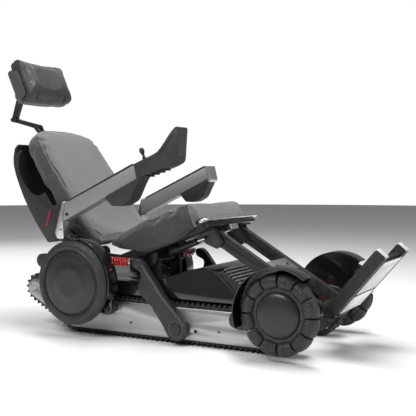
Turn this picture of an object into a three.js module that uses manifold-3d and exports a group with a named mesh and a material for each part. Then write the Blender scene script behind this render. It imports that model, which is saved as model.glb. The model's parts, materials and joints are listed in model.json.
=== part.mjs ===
// A stair-climbing power wheelchair standing on its two rubber tracks, seat tilted back.
// Millimetres. +X is forward, +Y is the rider's left, +Z is up.
// While it is drawn, X = 0 is the rear axle and Z = 0 is the floor. The finished group is then
// moved so that its origin is the middle of the footprint.
import * as THREE from 'three';
import { mergeVertices } from 'three/addons/utils/BufferGeometryUtils.js';
import Module from 'manifold-3d';

const wasm = await Module();
wasm.setup();

// ---------------------------------------------------------------- driving dimensions
const GAP = 0.4;
const PLATE = 4;

const REAR_AXLE = [0, 201.7];
const REAR_TYRE_R = 155;
const REAR_DISC_R = 117.4;
const FRONT_AXLE = [813, 153];
const FRONT_TYRE_R = 134;
const FRONT_CAP_R = 76;
const WHEEL_OUTER = 320;
const REAR_TYRE_WIDTH = 45;
const FRONT_TYRE_WIDTH = 64;
const ROLLERS = 12;

// Each track runs round circles, [x, z, radius] to the inside of its belt: a level run and a
// rising tail that share two of them.
const SPROCKET = [-254, 156, 36];
const IDLER = [828, 80, 26];
const LOWER_ROLLER = [-66, 50, 30];
const UPPER_ROLLER = [60, 105, 28];
const LEVEL_RUN = [LOWER_ROLLER, UPPER_ROLLER, [788, 50, 30], [712, 104, 28], IDLER];
const RISING_TAIL = [LOWER_ROLLER, UPPER_ROLLER, SPROCKET];
const TRACK_OUTER = 215;
const TRACK_INNER = 145;
const BELT_THICK = 8;
const LUG_HEIGHT = 11;
const LUG_PITCH = 21;
const LUG_FOOT = 6.5;

const LIFT_BOSS = [405, 60];
const SWING_PIVOT = [128, 112];
const SHOCK_PIVOT = [112, 281];
const FRONT_PIVOT = [640, 110];
const SHOCK_Y = -225;

const SEAT_CORNER = [93, 356];
const SEAT_TILT = 21;
const SEAT_HALF = 206;
const SEAT_PIVOT = [215, 272];
const RECLINE_PIVOT = [-62, 345];

const BACK_CORNER = [-20, 398];
const BACK_LEAN = 33.4;
const MAST_TOP = [-420, 800];
const HEAD_KNUCKLE = [-550, 833];
const HEAD_PIVOT = [-512, 935];
const HEAD_CENTRE = [-406, 978];
const HEAD_LEAN = 25;

const ARM_OUTER = 284;
const ARM_INNER = 231;

const KNEE = [494, 376];
const LEGREST_DROP = 31;
const LEGREST_LENGTH = 491;
const LEGREST_TUBE_Y = 100;
const FOOT_PIVOT = [915, 123];
const FOOTBOARD_RISE = 50;

const STICK = [297, -258, 630];
const STICK_LEAN = 22;
const BUTTON = [352, -258];

// ---------------------------------------------------------------- finishes
const finish = (color, roughness, metalness) => ({ color, roughness, metalness });
const SATIN_BLACK = finish(0x1b1b1c, 0.45, 0.2);
const GLOSS_BLACK = finish(0x0b0b0c, 0.12, 0.0);
const MATTE_BLACK = finish(0x202021, 0.7, 0.0);
const ALUMINIUM = finish(0x9a9a9a, 0.35, 0.9);
const SILVER = finish(0xc4c4c4, 0.3, 0.9);
const RUBBER = finish(0x161616, 0.85, 0.0);
const RED = finish(0xd01818, 0.4, 0.2);
const FABRIC = finish(0x686868, 0.95, 0.0);
const LEATHER = finish(0x2b2b2c, 0.55, 0.0);
const BATTERY_GREY = finish(0x3b3d40, 0.6, 0.0);

// ---------------------------------------------------------------- solids
const radians = (degrees) => THREE.MathUtils.degToRad(degrees);

function toManifold(geometry) {
  const bare = geometry.clone();
  bare.deleteAttribute('normal');
  bare.deleteAttribute('uv');
  const merged = mergeVertices(bare, 1e-4);
  return new wasm.Manifold(new wasm.Mesh({
    numProp: 3,
    vertProperties: new Float32Array(merged.attributes.position.array),
    triVerts: new Uint32Array(merged.index.array),
  }));
}

function toGeometry(manifold) {
  const mesh = manifold.getMesh();
  const geometry = new THREE.BufferGeometry();
  geometry.setAttribute('position', new THREE.BufferAttribute(new Float32Array(mesh.vertProperties), 3));
  geometry.setIndex(new THREE.BufferAttribute(new Uint32Array(mesh.triVerts), 1));
  return geometry;
}

function join(first, ...others) {
  return toGeometry(others.reduce((sum, next) => sum.add(toManifold(next)), toManifold(first)));
}

function cut(first, ...tools) {
  return toGeometry(tools.reduce((rest, tool) => rest.subtract(toManifold(tool)), toManifold(first)));
}

function common(first, second) {
  return toGeometry(toManifold(first).intersect(toManifold(second)));
}

// An outline through the given corners; a third number on a corner rounds it.
function outline(corners) {
  const shape = new THREE.Shape();
  corners.forEach(([x, y, round = 0], i) => {
    const corner = new THREE.Vector2(x, y);
    const before = corners[(i + corners.length - 1) % corners.length];
    const after = corners[(i + 1) % corners.length];
    const back = new THREE.Vector2(before[0] - x, before[1] - y);
    const ahead = new THREE.Vector2(after[0] - x, after[1] - y);
    const reach = Math.min(round, 0.48 * back.length(), 0.48 * ahead.length());
    const start = corner.clone().addScaledVector(back.normalize(), reach);
    const end = corner.clone().addScaledVector(ahead.normalize(), reach);
    if (i === 0) shape.moveTo(start.x, start.y);
    else shape.lineTo(start.x, start.y);
    if (reach > 0) shape.quadraticCurveTo(x, y, end.x, end.y);
  });
  return shape;
}

// A side view outline, [x, z] corners, from y0 to y1.
function prism(corners, y0, y1, steps = 2) {
  const options = { depth: y1 - y0, bevelEnabled: false, curveSegments: steps };
  const geometry = new THREE.ExtrudeGeometry(outline(corners), options);
  geometry.rotateX(Math.PI / 2);
  geometry.translate(0, y1, 0);
  return geometry;
}

// A front view outline, [y, z] corners, from x0 to x1.
function frontPrism(corners, x0, x1, steps = 2) {
  const options = { depth: x1 - x0, bevelEnabled: false, curveSegments: steps };
  const geometry = new THREE.ExtrudeGeometry(outline(corners), options);
  geometry.rotateX(Math.PI / 2);
  geometry.rotateZ(Math.PI / 2);
  geometry.translate(x0, 0, 0);
  return geometry;
}

// A plan view outline, [x, y] corners, from z0 to z1.
function planPrism(corners, z0, z1, steps = 2) {
  const options = { depth: z1 - z0, bevelEnabled: false, curveSegments: steps };
  const geometry = new THREE.ExtrudeGeometry(outline(corners), options);
  geometry.translate(0, 0, z0);
  return geometry;
}

function block(x0, x1, y0, y1, z0, z1) {
  const geometry = new THREE.BoxGeometry(x1 - x0, y1 - y0, z1 - z0);
  geometry.translate((x0 + x1) / 2, (y0 + y1) / 2, (z0 + z1) / 2);
  return geometry;
}

// A round bar along Y.
function rod([x, z], radius, y0, y1, sides = 14) {
  const geometry = new THREE.CylinderGeometry(radius, radius, y1 - y0, sides);
  geometry.translate(x, (y0 + y1) / 2, z);
  return geometry;
}

// A round bar along X.
function barAlongX(radius, x0, x1, y, z, sides = 12) {
  const geometry = new THREE.CylinderGeometry(radius, radius, x1 - x0, sides);
  geometry.rotateZ(Math.PI / 2);
  geometry.translate((x0 + x1) / 2, y, z);
  return geometry;
}

// A [radius, y] profile turned round a Y axis through [x, z].
function turned(profile, [x, z], sides) {
  const points = profile.map(([radius, y]) => new THREE.Vector2(radius, y));
  const geometry = new THREE.LatheGeometry(points, sides);
  geometry.translate(x, 0, z);
  return geometry;
}

// Everything on a side is drawn for the right side (-Y) and mirrored for the left.
function mirrored(geometry) {
  const flipped = geometry.index ? geometry : mergeVertices(geometry);
  flipped.scale(1, -1, 1);
  const index = flipped.index.array;
  for (let i = 0; i < index.length; i += 3) {
    const kept = index[i];
    index[i] = index[i + 1];
    index[i + 1] = kept;
  }
  return flipped;
}

const wheelchair = new THREE.Group();

function addTo(group, name, geometry, look) {
  const mesh = new THREE.Mesh(geometry, new THREE.MeshStandardMaterial(look));
  mesh.name = name;
  group.add(mesh);
}

function addPair(group, name, draw, look) {
  addTo(group, `${name}_right`, draw(), look);
  addTo(group, `${name}_left`, mirrored(draw()), look);
}

// A nested frame whose local X rises by `rise` degrees from level.
function tiltedGroup([x, z], rise) {
  const group = new THREE.Group();
  group.position.set(x, 0, z);
  group.rotation.y = -radians(rise);
  wheelchair.add(group);
  return group;
}

// ---------------------------------------------------------------- tracks
function convexHull(points) {
  const sorted = [...points].sort((a, b) => a[0] - b[0] || a[1] - b[1]);
  const turn = (o, a, b) => (a[0] - o[0]) * (b[1] - o[1]) - (a[1] - o[1]) * (b[0] - o[0]);
  const half = (list) => {
    const chain = [];
    for (const p of list) {
      while (chain.length > 1 && turn(chain.at(-2), chain.at(-1), p) <= 0) chain.pop();
      chain.push(p);
    }
    chain.pop();
    return chain;
  };
  return [...half(sorted), ...half(sorted.reverse())];
}

// The taut line round a set of circles, moved outwards by `offset`.
function tautLine(circles, offset) {
  const points = [];
  for (const [x, z, radius] of circles) {
    for (let a = 0; a < 360; a += 30) {
      const r = radius + offset;
      points.push([x + r * Math.cos(radians(a)), z + r * Math.sin(radians(a))]);
    }
  }
  return convexHull(points);
}

// The stretch of a loop from the corner nearest `start` up to the corner nearest `end`.
function stretch(loop, start, end) {
  const nearest = (p) => {
    const reach = loop.map((q) => Math.hypot(q[0] - p[0], q[1] - p[1]));
    return reach.indexOf(Math.min(...reach));
  };
  const a = nearest(start);
  const b = nearest(end);
  return [...loop, ...loop].slice(a, b > a ? b : b + loop.length);
}

// The belt's line round the level run and then the tail, counter-clockwise.
function trackLoop(offset) {
  const bottom = [LOWER_ROLLER[0], LOWER_ROLLER[1] - LOWER_ROLLER[2] - offset];
  const top = [UPPER_ROLLER[0], UPPER_ROLLER[1] + UPPER_ROLLER[2] + offset];
  const level = tautLine(LEVEL_RUN, offset);
  const tail = tautLine(RISING_TAIL, offset);
  return [...stretch(level, bottom, top), ...stretch(tail, top, bottom)];
}

// The belt's outer loop with a pointed lug at every pitch.
function luggedLoop() {
  const loop = trackLoop(BELT_THICK);
  const lengths = loop.map((p, i) => {
    const q = loop[(i + 1) % loop.length];
    return Math.hypot(q[0] - p[0], q[1] - p[1]);
  });
  const total = lengths.reduce((sum, l) => sum + l, 0);
  const lugs = Math.round(total / LUG_PITCH);
  const pitch = total / lugs;
  const at = (s, rise) => {
    let rest = (s + total) % total;
    let i = 0;
    while (rest > lengths[i]) {
      rest -= lengths[i];
      i += 1;
    }
    const p = loop[i];
    const q = loop[(i + 1) % loop.length];
    const tx = (q[0] - p[0]) / lengths[i];
    const tz = (q[1] - p[1]) / lengths[i];
    return [p[0] + tx * rest + tz * rise, p[1] + tz * rest - tx * rise];
  };
  const corners = [];
  for (let k = 0; k < lugs; k += 1) {
    const s = (k + 0.5) * pitch;
    corners.push(at(s - LUG_FOOT, 0), at(s, LUG_HEIGHT), at(s + LUG_FOOT, 0));
  }
  return corners;
}

function trackFrame() {
  const face = trackLoop(-2);
  const outer = prism(face, -TRACK_OUTER, -TRACK_OUTER + PLATE);
  const inner = prism(face, -TRACK_INNER - PLATE, -TRACK_INNER);
  const span = block(-208, 772, -TRACK_OUTER + 2, -TRACK_INNER - 2, 0, 200);
  const slider = common(prism(trackLoop(-0.6), -TRACK_OUTER + 1, -TRACK_INNER - 1), span);
  const frame = join(
    outer, inner, slider,
    rod(LIFT_BOSS, 14, -244 - GAP, -TRACK_OUTER + 1),
    rod(LIFT_BOSS, 22, -251, -244),
    rod(SWING_PIVOT, 18, -244.6, -TRACK_OUTER + 1),
    rod(SWING_PIVOT, 12, -270, -240),
    rod(FRONT_PIVOT, 12, -254, -TRACK_OUTER + 1),
    rod(FRONT_PIVOT, 17, -254, -247.4),
  );
  return cut(
    frame,
    rod(SPROCKET, 13, -TRACK_OUTER - 1, -TRACK_INNER + 1),
    rod(IDLER, 15, -TRACK_OUTER - 1, -TRACK_INNER + 1),
    rod([468, 53], 6, -TRACK_OUTER - 1, -TRACK_OUTER + 12, 12),
  );
}

function trackBelt() {
  const half = 26;
  const middle = -(TRACK_OUTER + TRACK_INNER) / 2;
  const band = prism(luggedLoop(), middle - half, middle + half);
  const bore = prism(trackLoop(0), middle - half - 1, middle + half + 1);
  return cut(band, bore);
}

// The slider that joins the two plates is narrower than the belt, and the belt rides over it.
function trackPulley(circle, shaft, boss) {
  const r = circle[2] - 2;
  const middle = -(TRACK_OUTER + TRACK_INNER) / 2;
  const profile = [
    [0, -TRACK_OUTER - 1], [shaft, -TRACK_OUTER - 1], [shaft, middle - 27],
    [r, middle - 26], [r, middle + 26],
    [shaft, middle + 27], [shaft, -TRACK_INNER + 1], [boss, -TRACK_INNER + 1.5], [boss, -TRACK_INNER + 5],
    [0, -TRACK_INNER + 5],
  ];
  return turned(profile, circle, 16);
}

// ---------------------------------------------------------------- chassis
const COVER_HALF = 200;
const COVER_BASE = 158;
const TRAY_HALF = TRACK_INNER - GAP;
const PILLAR = { x0: 195, x1: 237, y0: 66, y1: 84 };

function chassisFrame() {
  const tray = cut(
    block(-238, 648, -TRAY_HALF, TRAY_HALF, 52, COVER_BASE - GAP),
    block(-234, 644, -TRAY_HALF + PLATE, TRAY_HALF - PLATE, 56, COVER_BASE + 1),
  );
  const { x0, x1, y0, y1 } = PILLAR;
  const shape = [[x0 - 40, 53], [x1 + 40, 53], [x1, 200], [x1, 288, 18], [x0, 288, 18], [x0, 200]];
  const bores = rod(SEAT_PIVOT, 8.6, -100, 100);
  return cut(join(tray, prism(shape, -y1, -y0), prism(shape, y0, y1)), bores);
}

function batteryPack() {
  return join(
    block(-200, 148, -118, 118, 56 + GAP, 150),
    block(-150, 100, -60, 60, 149, 156),
  );
}

function chassisCover() {
  const profile = [
    [-234, COVER_BASE], [-238, 190, 16], [-200, 207, 30], [280, 207, 60], [430, 262, 40], [468, 270, 20],
    [528, 264, 24], [646, 166, 16], [646, COVER_BASE],
  ];
  const hollow = [
    [-229, COVER_BASE + 3], [-230, 180, 14], [-196, 203, 30], [282, 203, 60], [432, 258, 40], [468, 266, 20],
    [524, 260, 24], [636, 166, 12], [636, COVER_BASE + 3],
  ];
  const section = [
    [-COVER_HALF, COVER_BASE - 1], [-COVER_HALF, 190, 24], [-COVER_HALF + 26, 300], [COVER_HALF - 26, 300],
    [COVER_HALF, 190, 24], [COVER_HALF, COVER_BASE - 1],
  ];
  const body = common(prism(profile, -COVER_HALF, COVER_HALF, 4), frontPrism(section, -300, 700));
  const { x0, x1, y0, y1 } = PILLAR;
  const slot = (a, b) => block(x0 - 6, x1 + 6, a - 2, b + 2, 100, 320);
  const beltRoom = trackLoop(BELT_THICK + LUG_HEIGHT + 5);
  const wide = block(84, 700, -COVER_HALF + 22, COVER_HALF - 22, 0, 400);
  return cut(
    body,
    common(prism(hollow, -COVER_HALF + 22, COVER_HALF - 22, 3), wide),
    prism(hollow, -TRAY_HALF + 4, TRAY_HALF - 4, 3),
    prism(beltRoom, -COVER_HALF - 1, -TRAY_HALF),
    prism(beltRoom, TRAY_HALF, COVER_HALF + 1),
    block(-222, 632, -TRAY_HALF + 8, TRAY_HALF - 8, COVER_BASE - 5, COVER_BASE + 10),
    slot(y0, y1),
    slot(-y1, -y0),
  );
}

function rearBumperBar() {
  const bracket = (y0, y1) => prism(
    [[-262, 70, 6], [-238.6, 70], [-238.6, 200], [-212, 252, 12], [-230, 262, 12], [-250, 250, 12],
      [-262, 160, 20]],
    y0, y1,
  );
  return join(
    rod([-225, 262], 22, -196, 196),
    rod([-225, 262], 27, -206, -186, 20),
    rod([-225, 262], 27, 186, 206, 20),
    bracket(-114, -102),
    bracket(102, 114),
  );
}

// ---------------------------------------------------------------- lift arms, springs, wheel arms
function liftArm() {
  const y0 = -243;
  const y1 = -217;
  const blade = [
    [224, 266, 12], [219, 292, 16], [246, 299, 14], [266, 284, 12], [352, 172], [446, 78, 20], [400, 22, 20],
    [366, 40, 20], [354, 66], [306, 130], [254, 173, 10], [249, 202, 10], [261, 228, 10], [262, 250, 10],
  ];
  const arm = join(prism(blade, y0, y1), rod(LIFT_BOSS, 42, y0, y1, 24));
  return cut(arm, rod(LIFT_BOSS, 14.6, y0 - 1, y1 + 1));
}

function shockRod() {
  const [x, z] = SHOCK_PIVOT;
  const parts = join(
    barAlongX(5, x, 215, SHOCK_Y, z, 12),
    barAlongX(16, x + 10, x + 13.5, SHOCK_Y, z),
    barAlongX(16, 206, 213, SHOCK_Y, z),
    rod(SHOCK_PIVOT, 11, SHOCK_Y - 9, SHOCK_Y + 9, 16),
  );
  return cut(parts, rod(SHOCK_PIVOT, 6.4, -260, -190, 16));
}

class Coil extends THREE.Curve {
  constructor(x0, x1, radius, turns, y, z) {
    super();
    Object.assign(this, { x0, x1, radius, turns, y, z });
  }

  getPoint(t) {
    const angle = 2 * Math.PI * this.turns * t;
    return new THREE.Vector3(
      THREE.MathUtils.lerp(this.x0, this.x1, t),
      this.y + this.radius * Math.cos(angle),
      this.z + this.radius * Math.sin(angle),
    );
  }
}

// A round wire along a curve.
function wire(curve, radius, steps, sides) {
  const section = new THREE.Shape();
  for (let i = 0; i < sides; i += 1) {
    const a = 2 * Math.PI * i / sides;
    if (i === 0) section.moveTo(radius, 0);
    else section.lineTo(radius * Math.cos(a), radius * Math.sin(a));
  }
  return new THREE.ExtrudeGeometry(section, { steps, extrudePath: curve, bevelEnabled: false });
}

function shockSpring() {
  const COIL_R = 12;
  const WIRE_R = 2.6;
  const TURNS = 6;
  return wire(new Coil(129, 203, COIL_R, TURNS, SHOCK_Y, SHOCK_PIVOT[1]), WIRE_R, TURNS * 9, 5);
}

function rearSwingArm() {
  const y0 = -259;
  const y1 = -245;
  const blade = [
    [152, 92, 14], [108, 88, 14], [-28, 176, 20], [-32, 226, 20], [18, 234, 20], [86, 186, 14], [94, 250],
    [97, 294, 10], [128, 294, 10], [134, 255], [142, 196], [154, 130, 14],
  ];
  return cut(
    join(
      prism(blade, y0, y1),
      rod(REAR_AXLE, 10, -300, y0 + 1),
      rod(SHOCK_PIVOT, 6, y0 + 1, SHOCK_Y + 16, 16),
      rod(SHOCK_PIVOT, 8.5, SHOCK_Y + 9.6, SHOCK_Y + 16, 16),
    ),
    rod(SWING_PIVOT, 12.6, y0 - 1, y1 + 1),
  );
}

// A fan-shaped outline round a centre between two radii, angles in degrees from +X.
function sector([x, z], r0, r1, from, to, step = 12) {
  const outside = [];
  const inside = [];
  const count = Math.ceil((to - from) / step);
  for (let i = 0; i <= count; i += 1) {
    const a = radians(THREE.MathUtils.lerp(from, to, i / count));
    outside.push([x + r1 * Math.cos(a), z + r1 * Math.sin(a)]);
    inside.unshift([x + r0 * Math.cos(a), z + r0 * Math.sin(a)]);
  }
  return [...outside, ...inside];
}

function rearFender() {
  const lug = [[96, 140], [150, 150, 10], [152, 100, 14], [116, 90, 14], [100, 108, 14]];
  return cut(
    join(
      prism(sector(REAR_AXLE, 161, 165, -14, 98), -302, -247),
      prism(sector(REAR_AXLE, 62, 163, -30, 98), -266, -262.4),
      prism(lug, -266, -262.4),
    ),
    rod(SWING_PIVOT, 12.5, -280, -240),
  );
}

function rearTyre() {
  const y0 = -WHEEL_OUTER + 2;
  const y1 = y0 + REAR_TYRE_WIDTH - 2;
  const rim = REAR_DISC_R + 0.6;
  const profile = [
    [rim, y0 + 4], [rim + 6, y0 + 0.5], [rim + 18, y0], [rim + 28, y0 + 3],
    [rim + 35, y0 + 10], [REAR_TYRE_R, y0 + 19],
    [REAR_TYRE_R, y1 - 16], [rim + 35, y1 - 8], [rim + 28, y1 - 2],
    [rim + 14, y1], [rim, y1 - 3], [rim, y0 + 4],
  ];
  return turned(profile, REAR_AXLE, 40);
}

function rearHub() {
  const y0 = -WHEEL_OUTER;
  const r = REAR_DISC_R;
  const profile = [
    [0, y0], [60, y0 + 0.6], [r - 9, y0 + 3], [r - 3, y0 + 6], [r, y0 + 10], [r, y0 + 38], [r - 12, y0 + 44],
    [52, y0 + 50], [10.6, y0 + 50], [10.6, y0 + 18], [0, y0 + 18],
  ];
  return turned(profile, REAR_AXLE, 32);
}

function frontSwingArm() {
  const y0 = -246.6;
  const y1 = -222;
  const blade = [
    [612, 92, 16], [614, 134, 16], [700, 168, 20], [800, 184, 20], [846, 172, 16],
    [846, 134, 16], [780, 116, 20],
    [660, 78, 16],
  ];
  return cut(
    join(prism(blade, y0, y1), rod(FRONT_AXLE, 10, -300, y0 + 1)),
    rod(FRONT_PIVOT, 12.6, y0 - 1, y1 + 1),
  );
}

function frontFender() {
  return join(
    prism(sector(FRONT_AXLE, 147.5, 152, 52, 200), -322, -247.2),
    prism(sector(FRONT_AXLE, 30, 150, 52, 205), -251, -247.2),
  );
}

// A ring of barrel rollers: the section swells and narrows once for each roller.
function omniRollers() {
  const ring = (FRONT_TYRE_R + FRONT_CAP_R + 0.8) / 2;
  const radial = FRONT_TYRE_R - ring;
  const axial = FRONT_TYRE_WIDTH / 2;
  const middle = -WHEEL_OUTER + 2 + axial;
  const around = ROLLERS * 4;
  const sides = 8;
  const positions = [];
  const index = [];
  for (let i = 0; i < around; i += 1) {
    const a = 2 * Math.PI * i / around;
    const swell = 1 - 0.14 * Math.cos(ROLLERS * a / 2) ** 12;
    for (let k = 0; k < sides; k += 1) {
      const b = 2 * Math.PI * k / sides;
      const out = Math.cos(b) > 0 ? swell : 1;
      const r = ring + radial * out * Math.cos(b);
      positions.push(
        FRONT_AXLE[0] + r * Math.cos(a),
        middle + axial * swell * Math.sin(b),
        FRONT_AXLE[1] + r * Math.sin(a),
      );
      const here = i * sides + k;
      const up = i * sides + (k + 1) % sides;
      const on = ((i + 1) % around) * sides + k;
      const both = ((i + 1) % around) * sides + (k + 1) % sides;
      index.push(here, up, on, up, both, on);
    }
  }
  const geometry = new THREE.BufferGeometry();
  geometry.setAttribute('position', new THREE.Float32BufferAttribute(positions, 3));
  geometry.setIndex(new THREE.BufferAttribute(new Uint32Array(index), 1));
  return geometry;
}

function frontHub() {
  const y0 = -WHEEL_OUTER;
  const r = FRONT_CAP_R;
  const profile = [
    [0, y0], [40, y0 + 1], [r - 8, y0 + 5], [r - 1.5, y0 + 11], [r, y0 + 18], [r, y0 + 62], [52, y0 + 66],
    [10.6, y0 + 66], [10.6, y0 + 16], [0, y0 + 16],
  ];
  return turned(profile, FRONT_AXLE, 24);
}

// ---------------------------------------------------------------- seat, drawn in the seat's own tilt
const PAN_TOP = -66;
const PAN_BASE = -98;
const PAN_HALF = 182;

// A point of the side view, turned into the seat's own tilted frame.
function inSeat([x, z]) {
  const dx = x - SEAT_CORNER[0];
  const dz = z - SEAT_CORNER[1];
  const c = Math.cos(radians(SEAT_TILT));
  const s = Math.sin(radians(SEAT_TILT));
  return [dx * c + dz * s, dz * c - dx * s];
}

function inBack([x, z]) {
  const dx = x - BACK_CORNER[0];
  const dz = z - BACK_CORNER[1];
  const c = Math.cos(radians(BACK_LEAN));
  const s = Math.sin(radians(BACK_LEAN));
  return [dx * c + dz * s, dz * c - dx * s];
}

function seatCushion() {
  const side = [
    [-8, -6, 22], [60, 6, 30], [177, 20, 40], [300, 12, 40], [380, 5, 26], [391, -58, 12], [384, -86, 16],
    [330, -100, 30], [243, -106, 40], [130, -98, 30], [60, -66, 30], [-13, -23, 16],
  ];
  const recess = block(-30, 420, -PAN_HALF - 3, PAN_HALF + 3, -130, PAN_TOP + 2);
  const front = block(370, 430, -SEAT_HALF - 10, SEAT_HALF + 10, -130, -61);
  const h = SEAT_HALF;
  const plan = [[-30, -h], [300, -h, 60], [410, -h + 22, 60], [410, h - 22, 60], [300, h, 60], [-30, h]];
  return cut(common(prism(side, -h, h), planPrism(plan, -140, 60, 3)), recess, front);
}

function seatFrame() {
  const pivot = inSeat(SEAT_PIVOT);
  const tube = inSeat(RECLINE_PIVOT);
  const knee = inSeat(KNEE);
  const arm = (y0, y1) => prism(
    [[-76, 345], [-76, 286, 20], [108, 258], [124, 296], [-46, 306, 10], [-46, 345]].map(([x, z, r]) => (
      [...inSeat([x, z]), r ?? 0]
    )),
    y0, y1,
  );
  const ear = (y0, y1) => prism(
    [[pivot[0] - 22, PAN_BASE + 2], [pivot[0] - 20, pivot[1] - 14, 14], [pivot[0] + 20, pivot[1] - 14, 14],
      [pivot[0] + 34, PAN_BASE + 2]],
    y0, y1,
  );
  const cheek = (y0, y1) => prism(
    [[knee[0] - 56, PAN_BASE + 2], [knee[0] - 46, knee[1] - 10, 4], [knee[0] - 8, knee[1] - 44, 5],
      [knee[0] + 24, knee[1] - 28, 5], [knee[0] + 15, PAN_BASE + 2]],
    y0, y1,
  );
  const t = LEGREST_TUBE_Y;
  const frame = join(
    block(4, 388, -PAN_HALF, PAN_HALF, PAN_BASE, PAN_TOP),
    arm(-168, -152), arm(152, 168),
    rod(tube, 12, -250, 250),
    ear(-104, -92), ear(92, 104),
    rod(pivot, 8, -98, 98, 16),
    cheek(-t - 20, -t - 14), cheek(-t + 14, -t + 20),
    cheek(t - 20, t - 14), cheek(t + 14, t + 20),
    rod(knee, 6, -t - 18, -t + 18, 14), rod(knee, 6, t - 18, t + 18, 14),
  );
  return frame;
}

function seatTrim() {
  const plan = [
    [388.4, -216], [410, -216, 14], [422, -192, 20], [422, 192, 20], [410, 216, 14], [388.4, 216],
  ];
  return planPrism(plan, -74, -62);
}

// The legrest actuator lies under the pan: a motor and tube, and a rod that slides out of it.
const ACTUATOR_Y = -128;
const ACTUATOR_W = PAN_BASE - 20;

function legrestActuatorBody() {
  return cut(
    join(
      barAlongX(16, 196, 232, ACTUATOR_Y, ACTUATOR_W, 20),
      barAlongX(12, 230, 312, ACTUATOR_Y, ACTUATOR_W, 16),
      block(240, 262, ACTUATOR_Y - 8, ACTUATOR_Y + 8, ACTUATOR_W, PAN_BASE - GAP),
    ),
    barAlongX(6.6, 252, 330, ACTUATOR_Y, ACTUATOR_W, 12),
  );
}

function legrestActuatorRod() {
  return barAlongX(6, 300, 345, ACTUATOR_Y, ACTUATOR_W, 12);
}

// ---------------------------------------------------------------- legrest and footboard
function legrestFrame() {
  const h = 22;
  const half = 13;
  const end = LEGREST_LENGTH - 44;
  const tube = (y) => prism([[-17, -h, 12], [end, -h], [end, h], [-17, h, 12]], y - half, y + half);
  const t = LEGREST_TUBE_Y;
  const foot = prism(
    [[end - 10, -h], [end + 14, -h, 6], [end + 14, 18, 6], [end - 10, h]], -t - half, t + half,
  );
  const knuckle = (y0, y1) => prism(
    [[end + 8, -16], [LEGREST_LENGTH - 2, -14, 10], [LEGREST_LENGTH + 12, 0, 10],
      [LEGREST_LENGTH - 2, 13, 10], [end + 8, 14]],
    y0, y1,
  );
  const frame = join(tube(-t), tube(t), foot, knuckle(-72, -52), knuckle(52, 72));
  const pin = rod([LEGREST_LENGTH, 0], 6.5, -80, 80, 14);
  const kneePin = rod([0, 0], 6.5, -t - 20, t + 20, 14);
  return cut(frame, pin, kneePin);
}

function legrestCrossPlate() {
  const t = LEGREST_TUBE_Y - 13 - GAP;
  return block(196, 262, -t, t, 8, 20);
}

function footboard() {
  const rail = (y0, y1) => prism([[36, -14, 6], [288, -14, 6], [288, 26, 8], [44, 26, 14]], y0, y1);
  const board = block(24, 264, -112, 112, -4, 8);
  const barrel = (y0, y1) => join(
    rod([0, 0], 11, y0, y1, 18),
    prism([[2, -11], [30, -4], [30, 8], [4, 10]], y0, y1),
  );
  const slots = [];
  for (const y of [-84, -56, -28, 0, 28, 56, 84]) {
    slots.push(block(120, 246, y - 5, y + 5, -10, 14));
  }
  return cut(
    join(
      board, rail(-150, -110), rail(110, 150), barrel(-50, 50),
      rod([0, 0], 6, -70, 70, 14),
    ),
    ...slots,
  );
}

// ---------------------------------------------------------------- backrest, drawn along its own lean
function backCushion() {
  const side = [
    [-12, 425, 60], [-5, 200, 60], [0, 40, 60], [10, -10, 30], [30, -50, 20], [50, -72, 12], [48, -92, 14],
    [26, -98, 14], [-66, 26, 20], [-70, 60], [-70, 210, 20], [-84, 240, 30], [-88, 430, 60], [-78, 501, 40],
    [-32, 501, 40],
  ];
  const front = [
    [-214, -120], [-214, 150, 40], [-207, 210, 40], [-200, 340, 40], [-190, 415, 50], [-156, 468, 50],
    [-88, 489, 60], [0, 497, 60], [88, 489, 60], [156, 468, 50], [190, 415, 50], [200, 340, 40],
    [207, 210, 40], [214, 150, 40], [214, -120],
  ];
  return common(prism(side, -230, 230, 3), frontPrism(front, -120, 80, 2));
}

function backShell() {
  const half = 216;
  const rear = [
    [-118, 446, 20], [-146, 400, 30], [-163, 350, 40], [-182, 240, 60], [-181, 120, 60], [-172, 36, 8],
  ];
  const shell = prism([[-92, 446, 10], ...rear, [-136, 26, 6], [-96, 24, 10], [-74, 60, 10]], -half, half, 3);
  const inner = prism(
    [[-60, 438], [-110, 438, 16], [-137, 396, 30], [-154, 346, 40], [-173, 238, 60], [-172, 124, 60],
      [-164, 46, 6], [-100, 34, 10], [-60, 70]],
    -half + 6, half - 6, 2,
  );
  const vent = prism(
    [[-60, 408], [-92, 406, 12], [-112, 398, 20], [-146, 350, 20], [-151, 300, 20],
      [-140, 240, 20], [-106, 206, 24],
      [-60, 212]],
    -half - 1, half + 1, 2,
  );
  const ear = [
    [-181, 463, 8], [-128, 484, 8], [-96, 405], [-40, 352, 16], [-50, 322, 16],
    [-84, 330, 12], [-139, 366],
    [-186, 381, 8]].map(([x, z, r]) => [...inBack([x, z]), r ?? 0]);
  const hinge = inBack(RECLINE_PIVOT);
  const frontView = [
    [-half, 0], [-half, 400, 30], [-half + 20, 460, 20], [half - 20, 460, 20], [half, 400, 30], [half, 0],
  ];
  const tub = cut(common(shell, frontPrism(frontView, -220, 0, 3)), inner, vent);
  return cut(
    join(tub, prism(ear, -232, -half + 1), prism(ear, half - 1, 232)),
    rod(hinge, 12.6, -240, 240),
    block(-124, -104, -24, 24, 380, 470),
  );
}

function headrestMast() {
  const top = inBack(MAST_TOP);
  const bar = block(-118, -108, -18, 18, 330, top[1] - 18);
  const ear = (y0, y1) => prism(
    [[-118, top[1] - 32], [-108, top[1] - 32], [top[0] + 10, top[1] + 4, 6], [top[0] - 2, top[1] + 11, 6],
      [top[0] - 12, top[1] + 2, 6]],
    y0, y1,
  );
  return join(bar, ear(-18, -13), ear(13, 18), rod(top, 5, -15, 15, 12));
}

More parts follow.
